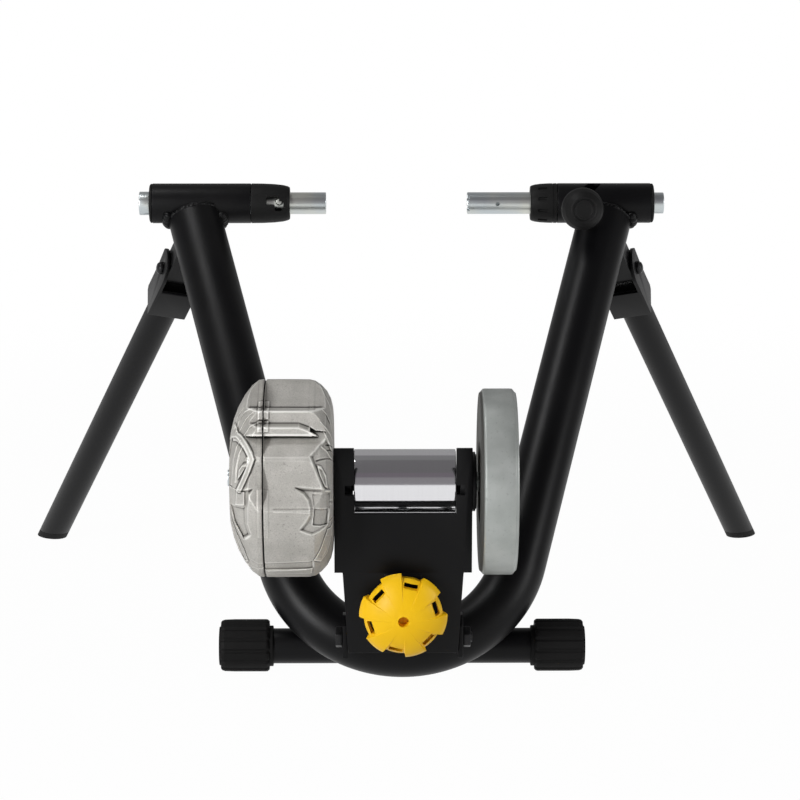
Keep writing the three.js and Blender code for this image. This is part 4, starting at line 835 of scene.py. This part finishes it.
def segment_distance(a, b, x, s):
    """How far each place lies from a straight line between two points."""
    dx, ds = b[0] - a[0], b[1] - a[1]
    share = np.clip(((x - a[0]) * dx + (s - a[1]) * ds) / max(dx * dx + ds * ds, 1e-9), 0, 1)
    return np.hypot(x - a[0] - share * dx, s - a[1] - share * ds)


def line_distance(points, x, s):
    """How far each place lies from a line of (x, degrees) points."""
    corners = [(px, degrees * ARC) for px, degrees in points]
    return np.minimum.reduce([segment_distance(a, b, x, s) for a, b in zip(corners, corners[1:])])


def step_up(depth, width):
    """0 outside and 1 inside an edge, rising over the width."""
    share = np.clip(depth / width + 0.5, 0, 1)
    return share * share * (3 - 2 * share)


def patch(points, x, s, width=0.7):
    """1 inside a polygon and 0 outside it."""
    return step_up(polygon_depth(points, x, s), width)


def ridge(points, x, s, width):
    """1 on a line, falling to 0 at the width from it."""
    return np.clip(1 - line_distance(points, x, s) / width, 0, 1)


def casing_faces(x, up):
    """How far out the flat faces and low fins of the casing's front lie."""
    second_edge = np.interp(x, [-89, -79.6, -72.1], [44.4, 41.0, 36.9])
    first_foot = np.interp(x, [-89, -79.6, -74.8, -64.8], [48.3, 44.8, 41.9, 40.8])
    wing = 85 - (up - 18.3)
    share = np.clip((up - second_edge) / np.maximum(first_foot - second_edge, 0.1), 0, 1)
    tread = np.where(x < -79.6, 74 - 10.2 * share, wing)
    blend = np.clip((up + 26) / 17, 0, 1)
    lower = 81.9 - 2.9 * blend * blend * (3 - 2 * blend)
    return np.select(
        [up > 61.3, up > 58.3, up > first_foot, up > second_edge, up > 37.1, up > 18.3, up > -9, up > -26],
        [(77 - up * math.sin(math.radians(55.8))) / math.cos(math.radians(55.8)), 63.3 - (up - 58.3) * 4.6,
         63.3 + (58.3 - up) * 0.05, tread, 74, wing, 79 + (up + 9) * 6 / 27.3, lower], 1e3)


def inner_relief(x, degrees):
    """Height of the inner half's details over its faces."""
    s = degrees * ARC
    height = np.zeros(x.shape)
    height -= 3 * patch([(-73, 99), (-67.5, 99), (-63, 92), (-61.5, 80), (-66.4, 81)], x, s, 1)
    for line in ([(-70.2, 52.2), (-64.8, 49.8), (-61, 48), (-60.5, 42)],
                 [(-68.6, 63.4), (-64.3, 61.6), (-60.8, 55)], [(-66.5, 82), (-63, 76), (-61, 65)],
                 [(-69.4, 35.4), (-65.3, 33.8), (-61.8, 30.4)], [(-67.6, 46), (-63.6, 42), (-61, 36)]):
        height += 1.8 * ridge(line, x, s, 1.3)
    height -= 1.2 * patch([(-66, 62), (-60.5, 56), (-60.5, 50), (-66, 52)], x, s)
    flank = [(-78.6, 28.6), (-74.7, 21.8), (-70.2, 14.2), (-67, 8.6), (-62.5, 8), (-60.4, 20), (-60.4, 36),
             (-66, 41), (-71.5, 35), (-74.8, 31.5)]
    height -= 4.2 * patch(flank, x, s, 3.2)
    crescent = [(-73.6, 24), (-69.9, 23.4), (-65.8, 18), (-64.4, 9.4), (-67, 10.8), (-71.4, 18.6)]
    height += 2.6 * patch(crescent, x, s, 1)
    height -= 1.4 * patch([(-71.4, 21.8), (-69.4, 21.2), (-66.6, 16.4), (-66, 11.6), (-69.6, 17.4)], x, s, 1)
    for line in ([(-74, 26.2), (-60.4, 30.4)], [(-66, 37.6), (-60.4, 41.4)], [(-65, 34.6), (-60.4, 37.6)],
                 [(-62.6, -0.2), (-60.4, -3.8)], [(-62.8, -14.6), (-60.4, -17)]):
        height -= 1.8 * ridge(line, x, s, 1)
    beside_pad = [(-91.5, 10.6), (-84.6, 7.6), (-80.3, 3.8), (-78.7, -1), (-78.8, -5.4), (-82.2, -9.6),
                  (-87.5, -14.4), (-78, -17.4), (-66, -16), (-62.8, -5), (-62.8, 6.4), (-69, 9)]
    height -= 3.4 * patch(beside_pad, x, s, 3)
    height -= 0.9 * patch([(-77.6, 7), (-62.9, 5.6), (-63, -4.6), (-75.9, -1.6)], x, s, 0.5)
    height -= 2.4 * patch([(-75.9, -1.6), (-64.7, -4.2), (-64.9, -15.4), (-77.2, -11.6)], x, s, 0.5)
    height -= 0.8 * ridge([(-110, -1.5), (-77, -1.5)], x, s, 0.8)
    height += 0.5 * ridge([(-110, -3.3), (-77, -4)], x, s, 1)
    arc = [(-64.9, -19.6), (-67.6, -25), (-71.6, -33), (-76.8, -39.4), (-70.7, -45.6), (-65, -42),
           (-61.4, -32), (-60.6, -22)]
    height += 2.6 * patch(arc, x, s, 0.6)
    inside_arc = [(-66.4, -24), (-69.8, -32), (-73.6, -38), (-70, -41.6), (-65.6, -36), (-63.4, -28)]
    height -= patch(inside_arc, x, s, 1.4)
    height -= 1.8 * patch([(-125, -42), (-78, -40), (-78, -48), (-125, -49)], x, s, 1.2)
    height += 1.8 * patch([(-125, -50), (-78, -48.4), (-79, -57), (-125, -59)], x, s, 1)
    height += 1.2 * ridge([(-116, -52), (-84, -50)], x, s, 1.4)
    return height + seam_lips(x, degrees, -114.9)


def outer_relief(x, degrees):
    """Height of the outer half's details over its faces."""
    s = degrees * ARC
    height = np.zeros(x.shape)
    beside_band = [(-133.4, 31.6), (-131.8, 26.8), (-136.4, 18.4), (-142.2, 7.4), (-149.4, 8), (-149.6, 44),
                   (-147, 58), (-139.6, 43)]
    height -= 3.6 * patch(beside_band, x, s, 1.2)
    for line in ([(-147.4, 10), (-146.4, 20), (-145.4, 33.6), (-142.8, 41.2), (-139.4, 43.6)],
                 [(-143.6, 13), (-143, 24), (-140.4, 34), (-137, 38)],
                 [(-143.3, 56), (-141, 64), (-135.9, 65.8), (-128.8, 62)],
                 [(-144.8, 63), (-142.6, 73), (-137.4, 72)], [(-139.3, 53), (-134.3, 57.4), (-128.7, 58.6)],
                 [(-135.2, 45.4), (-130.2, 49), (-124.1, 49.4)]):
        height += 2 * ridge(line, x, s, 1.4)
    height += 3 * patch([(-141.4, 14.6), (-140.2, 22.2), (-135, 27), (-133.6, 23.6), (-138.6, 18)], x, s, 0.8)
    band = [(-147.6, 72), (-143.4, 52), (-137.8, 42.6), (-130.4, 31.2), (-128.6, 27.2), (-131.8, 21.4),
            (-138.2, 11.4), (-140.4, 7.4)]
    height += 4.4 * step_up(2.4 - line_distance(band, x, s), 1.2)
    beside_pad = [(-128.4, 9.6), (-131.4, 6.4), (-133.2, -3), (-133.3, -13.6), (-130.7, -19.4), (-136.6, -28),
                  (-144.6, -22.6), (-148.4, -10.6), (-147.3, 8), (-142, 6.8)]
    height -= 3.2 * patch(beside_pad, x, s, 2.6)
    height += 2.4 * patch([(-142.8, 6.4), (-135, 7.4), (-135.2, -1.4), (-143.6, -5.6)], x, s, 0.6)
    under_pad = [(-143.4, -6.6), (-135.2, -3), (-135, -14), (-132.2, -21), (-137, -27), (-144.4, -22),
                 (-147.6, -11)]
    height -= 2.8 * patch(under_pad, x, s, 2)
    leaf = [(-149.4, -32), (-147.4, -52), (-142.6, -63), (-136.4, -60), (-133.2, -50), (-136.6, -39),
            (-144.4, -30.6), (-148, -27)]
    height += 2.4 * patch(leaf, x, s, 1)
    height -= 3.6 * ridge([(-147, -33), (-143, -44), (-137.6, -55.4), (-135.6, -54)], x, s, 2.2)
    height -= 1.2 * patch([(-134, -44), (-120, -42), (-120, -47), (-132, -52)], x, s, 1.6)
    return height + seam_lips(x, degrees, -124.2)


def seam_lips(x, degrees, edge):
    """Low lips along the seam, beside the fins and beside the pad."""
    s = degrees * ARC
    beside = step_up((x - edge) * (1 if edge < -119.5 else -1), 1.2)
    return sum(rise * beside * step_up(np.minimum(s - low * ARC, high * ARC - s), 1.6)
               for low, high, rise in ((43, 50.5, 1.7), (51.5, 66, 1.7), (-20, 9.6, 0.8)))


def blurred(field, cells):
    """The field, smoothed over so many of its cells."""
    for _ in range(cells):
        field = (field + np.roll(field, 1, 1) + np.roll(field, -1, 1)) / 3
        field[1:-1] = (field[2:] + field[1:-1] + field[:-2]) / 3
    return field


def cast_half(outside, inside, relief, inset=0.0):
    """A casting from its blank's outside and inside lines, with its faces and details."""
    front = [math.radians(a) for a in np.arange(76, 284, 0.43)]
    back = [math.radians(a) for a in np.arange(284, 436.1, 152 / 170)]
    outer_rows = len(outside)

    def pressed(places):
        x, y, z = np.moveaxis(places, 2, 0)
        up = y * math.sin(LEAN) + z * math.cos(LEAN)
        out = z * math.sin(LEAN) - y * math.cos(LEAN)
        side = np.where(out >= 0, 1, -1)
        up, out = up * side, out * side
        degrees = np.degrees(np.arctan2(up, out)) + 15
        face = np.minimum(out, casing_faces(x, up) - inset)
        skin = (np.arange(len(x)) < outer_rows)[:, None] & (np.hypot(y, z) > 22)
        detail = relief(x, degrees) * np.clip(out / 14, 0, 1) if relief else np.zeros(x.shape)
        pushed = np.where(skin, face + detail, out)
        depth = np.where(skin, pushed - out, 0)
        # Painted light from the relief: creases and hollows get a negative value, painted as shade, and
        # ridges a positive one, painted lighter as worn edges and highlight.
        crevice = depth - blurred(depth.copy(), 3)
        hollow = depth - blurred(depth.copy(), 14)
        wear = np.clip(crevice * 0.5, -0.6, 0.5) + np.clip(hollow * 0.16, -0.5, 0.3)
        up, out = up * side, pushed * side
        y = up * math.sin(LEAN) - out * math.cos(LEAN)
        z = up * math.cos(LEAN) + out * math.sin(LEAN)
        for py, pz in CASE_SCREWS:
            pocket = (np.hypot(y - py, z - pz) < 4.7) & (x < POCKET_FLOOR) & skin
            x = np.where(pocket, POCKET_FLOOR, x)
        return np.stack([x, y, z], 2), wear

    return wrapped(outside + inside, front + back, pressed)


def densified(profile, reach):
    """The same line with no stretch longer than the reach."""
    points = [profile[0]]
    for before, after in zip(profile, profile[1:]):
        length = math.dist(before, after)
        count = max(1, math.ceil(length / reach))
        points += [tuple(a + (b - a) * i / count for a, b in zip(before, after)) for i in range(1, count + 1)]
    return points


inner_outside = [(-118.9, 84.6), (-118.6, 85.8), (-117.8, 86.2), (-100, 86.2), (-81, 86), (-76, 84.8),
                 (-71, 81.4), (-66, 76), (-62.6, 69.5), (-60.8, 62), (-60.3, 56)]
inner_inside = [(-60.3, 21.4), (-54, 21.2), (-54, 20.2), (-66, 20.2), (-66, 15.4), (-73.4, 15.4), (-73.4, 9),
                (-84, 9), (-84, 70), (-118.9, 70), (-118.9, 84.6)]
shown("fluid_housing_inner", cast_half(densified(inner_outside, CAST_REACH), inner_inside, inner_relief),
      CASING, crease=40)

outer_outside = [(-120.1, 84.6), (-120.4, 85.8), (-121.2, 86.2), (-125, 85.6), (-131, 81), (-137, 73.2),
                 (-143, 62.4), (-147, 52), (-149.6, 41), (-150.2, 30)]
outer_inside = [(-150.4, 5.4), (-143, 5.4), (-143, 44), (-140, 51), (-132, 64), (-127, 70), (-120.1, 70),
                (-120.1, 84.6)]
shown("fluid_housing_outer", cast_half(densified(outer_outside, CAST_REACH), outer_inside, outer_relief),
      CASING, crease=40)
gasket_inside = [(-119.1, 71), (-119.9, 71), (-119.9, 84.8)]
shown("housing_gasket", cast_half([(-119.9, 84.8), (-119.1, 84.8)], gasket_inside, None, 0.9), CASING)
for node in (*(f"case_screw_{i}" for i in range(1, 5)), "fill_plug"):
    shown(node, solid_copy(node, 0.5, 2, 40), None)


# Adjuster knob: a domed cap with lobes at its rim and a slot in each valley between them
KNOB_RADIUS = 38.4
KNOB_REAR, KNOB_FRONT = -31.4, -59.4
LOBES, LOBE_PHASE = 6, math.radians(47.2)
LOBE_EDGE = 0.035
VALLEY_RIM, LOBE_REACH = 34.2, 4.1
LOBE_BALL = 51.9
VALLEY_DEPTH, VALLEY_SPAN = 26, 36
PARTING_START, PARTING_WIDTH = 0.45, 0.4
EDGE_START, EDGE_WIDTH, EDGE_DROP = 0.93, 0.07, 2
WALL_TAPER = 0.05


def knob_place(x, y, z):
    """Where a place on the plain turned cap goes. Lobes fall away as a ball does, valleys faster."""
    radius = math.hypot(y, z)
    turn = (math.atan2(z, -y) - LOBE_PHASE) / math.tau * LOBES
    lobe = step_up(0.5 - abs(turn - round(turn)) * 2, LOBE_EDGE)
    rim = (VALLEY_RIM + LOBE_REACH * lobe) / KNOB_RADIUS
    share = min(radius / KNOB_RADIUS, 1.0)
    parting = min(1.0, max(0.0, (share - PARTING_START) / PARTING_WIDTH))
    parted = radius * (1 + (rim - 1) * parting)
    lobe_fall = LOBE_BALL - math.sqrt(LOBE_BALL ** 2 - parted ** 2)
    lobe_fall += EDGE_DROP * max(0.0, share - EDGE_START) / EDGE_WIDTH
    valley_fall = VALLEY_DEPTH * (1 - math.sqrt(max(0.0, 1 - (parted / VALLEY_SPAN) ** 2)))
    fall = valley_fall + (lobe_fall - valley_fall) * lobe
    top = KNOB_FRONT + fall
    depth = (x - KNOB_FRONT) / (KNOB_REAR - KNOB_FRONT)
    if depth < 0.001:
        scale = parted / radius
        return top, y * scale, z * scale
    scale = rim * (1 - WALL_TAPER * (1 + lobe) * depth)
    return top + (KNOB_REAR - top) * depth, y * scale, z * scale


def adjuster_knob():
    rings = [0.02, 0.1, 0.2, 0.28, 0.34, 0.4, 0.45, 0.5, 0.55, 0.6, 0.65, 0.7, 0.75, 0.8, 0.85, 0.9, 0.94,
             0.97, 0.988, 1.0]
    around, levels = 480, 10
    cap = [(KNOB_FRONT, share * KNOB_RADIUS) for share in (0, *rings)]
    wall = [(KNOB_FRONT + (KNOB_REAR - KNOB_FRONT) * i / levels, KNOB_RADIUS) for i in range(1, levels + 1)]
    hollow = [(KNOB_REAR, 30), (-41.5, 30), (-46.4, 24), (-47, 11), (KNOB_REAR, 11), (KNOB_REAR, 5.3),
              (-47.2, 5.3), (-47.2, 0)]
    bm = wrapped(cap + wall + hollow, [math.tau * i / around for i in range(around + 1)])
    for vert in bm.verts:
        radius = math.hypot(vert.co.y, vert.co.z)
        if radius > 0.05 and (vert.co.x < KNOB_FRONT + 0.001 or radius > 31):
            vert.co = knob_place(*vert.co)
    slots = []
    for i in range(LOBES):
        angle = LOBE_PHASE + (i + 0.5) * math.tau / LOBES
        slot = softened(brick(-70, -40, -6.2, 6.2, 27, 31.2), 0.5, 2)
        slots.append(moved(slot, Matrix.Rotation(math.pi / 2 - angle, 4, "X")))
    eye = rod(-70, -48.5, 4.7, 0.1, 48)
    return carved(bm, eye, *slots)


shown("adjuster_knob", adjuster_knob(), SCREW, crease=30)
shown("thrust_washer", turned(rounded([
    (-28, 5.3), (-26.1, 5.3), (-26.1, 6.2), (-28.1, 12), (-31.1, 12), (-31.1, 5.3), (-28, 5.3)], 0.4)), SCREW)
shown("adjuster_screw", rod(-47.25, 8, 5, 0.6), SCREW)

# Floor and studio
floor = scratch_object(brick(-6000, 6000, -6000, 6000, -20, 0))
floor.name = "studio_floor"
floor.data.transform(Matrix.Scale(1 / MILLIMETRES, 4))
cloth = Finish("studio_floor", Roughness=0.9)
cloth.feed("Base Color", (0.92, 0.92, 0.92))
from_camera, mirror, glass = cloth.rays()
glow = cloth.node("ShaderNodeEmission", {}, {"Color": (1, 1, 1, 1), "Strength": 1.0})
distance = cloth.node("ShaderNodeVectorMath", {"operation": "LENGTH"}, {0: cloth.place}, "Value")
# The cloth glows to the camera, fully so from a distance, and a little less in mirrors
whitened = 0.98 + distance.above(1.7, 1.6) * 0.02
lightened = (from_camera + mirror * 0.88 + glass) * whitened
plain = Value(cloth, cloth.shader.outputs[0])
blend = cloth.node("ShaderNodeMixShader", {}, {0: lightened, 1: plain, 2: glow})
cloth.tree.links.new(blend.socket, cloth.output.inputs["Surface"])
floor.data.materials.append(cloth.data)


class Surroundings(Finish):
    """The studio: white to the camera, grey to diffuse light, and to mirrors a dim room with bands."""

    def __init__(self):
        self.data = bpy.data.worlds.new("studio")
        self.data.use_nodes = True
        self.tree = self.data.node_tree
        self.shader = self.tree.nodes["Background"]
        bpy.context.scene.world = self.data


studio = Surroundings()
from_camera, mirror, glass = studio.rays()
heading = studio.node("ShaderNodeTexCoord", {}, {}, "Generated")
height = studio.node("ShaderNodeSeparateXYZ", {}, {"Vector": heading}, "Z")
depth = studio.node("ShaderNodeSeparateXYZ", {}, {"Vector": heading}, "Y")
overhead = height.maths("ARCTAN2", height, depth * -1) * (1 / math.pi)
mirrored = studio.node("ShaderNodeValToRGB", {"stops": [
    (0.0, (0.39, 0.38, 0.39)), (0.005, (0.27, 0.26, 0.27)), (0.135, (0.25, 0.24, 0.25)),
    (0.145, (0.17, 0.152, 0.17)), (0.225, (0.17, 0.152, 0.17)), (0.235, (0.15, 0.145, 0.15)),
    (0.51, (0.155, 0.15, 0.155)), (0.52, (0.2, 0.2, 0.2)), (0.64, (0.21, 0.205, 0.21)),
    (0.66, (0.36, 0.355, 0.36)), (0.95, (0.34, 0.34, 0.34)), (0.96, (0.5, 0.5, 0.5))]},
    {"Fac": overhead}, "Color")
lit = studio.mix(mirror + glass, (0.13, 0.13, 0.13), mirrored)
studio.feed("Color", studio.mix(from_camera, lit, (1, 1, 1)))
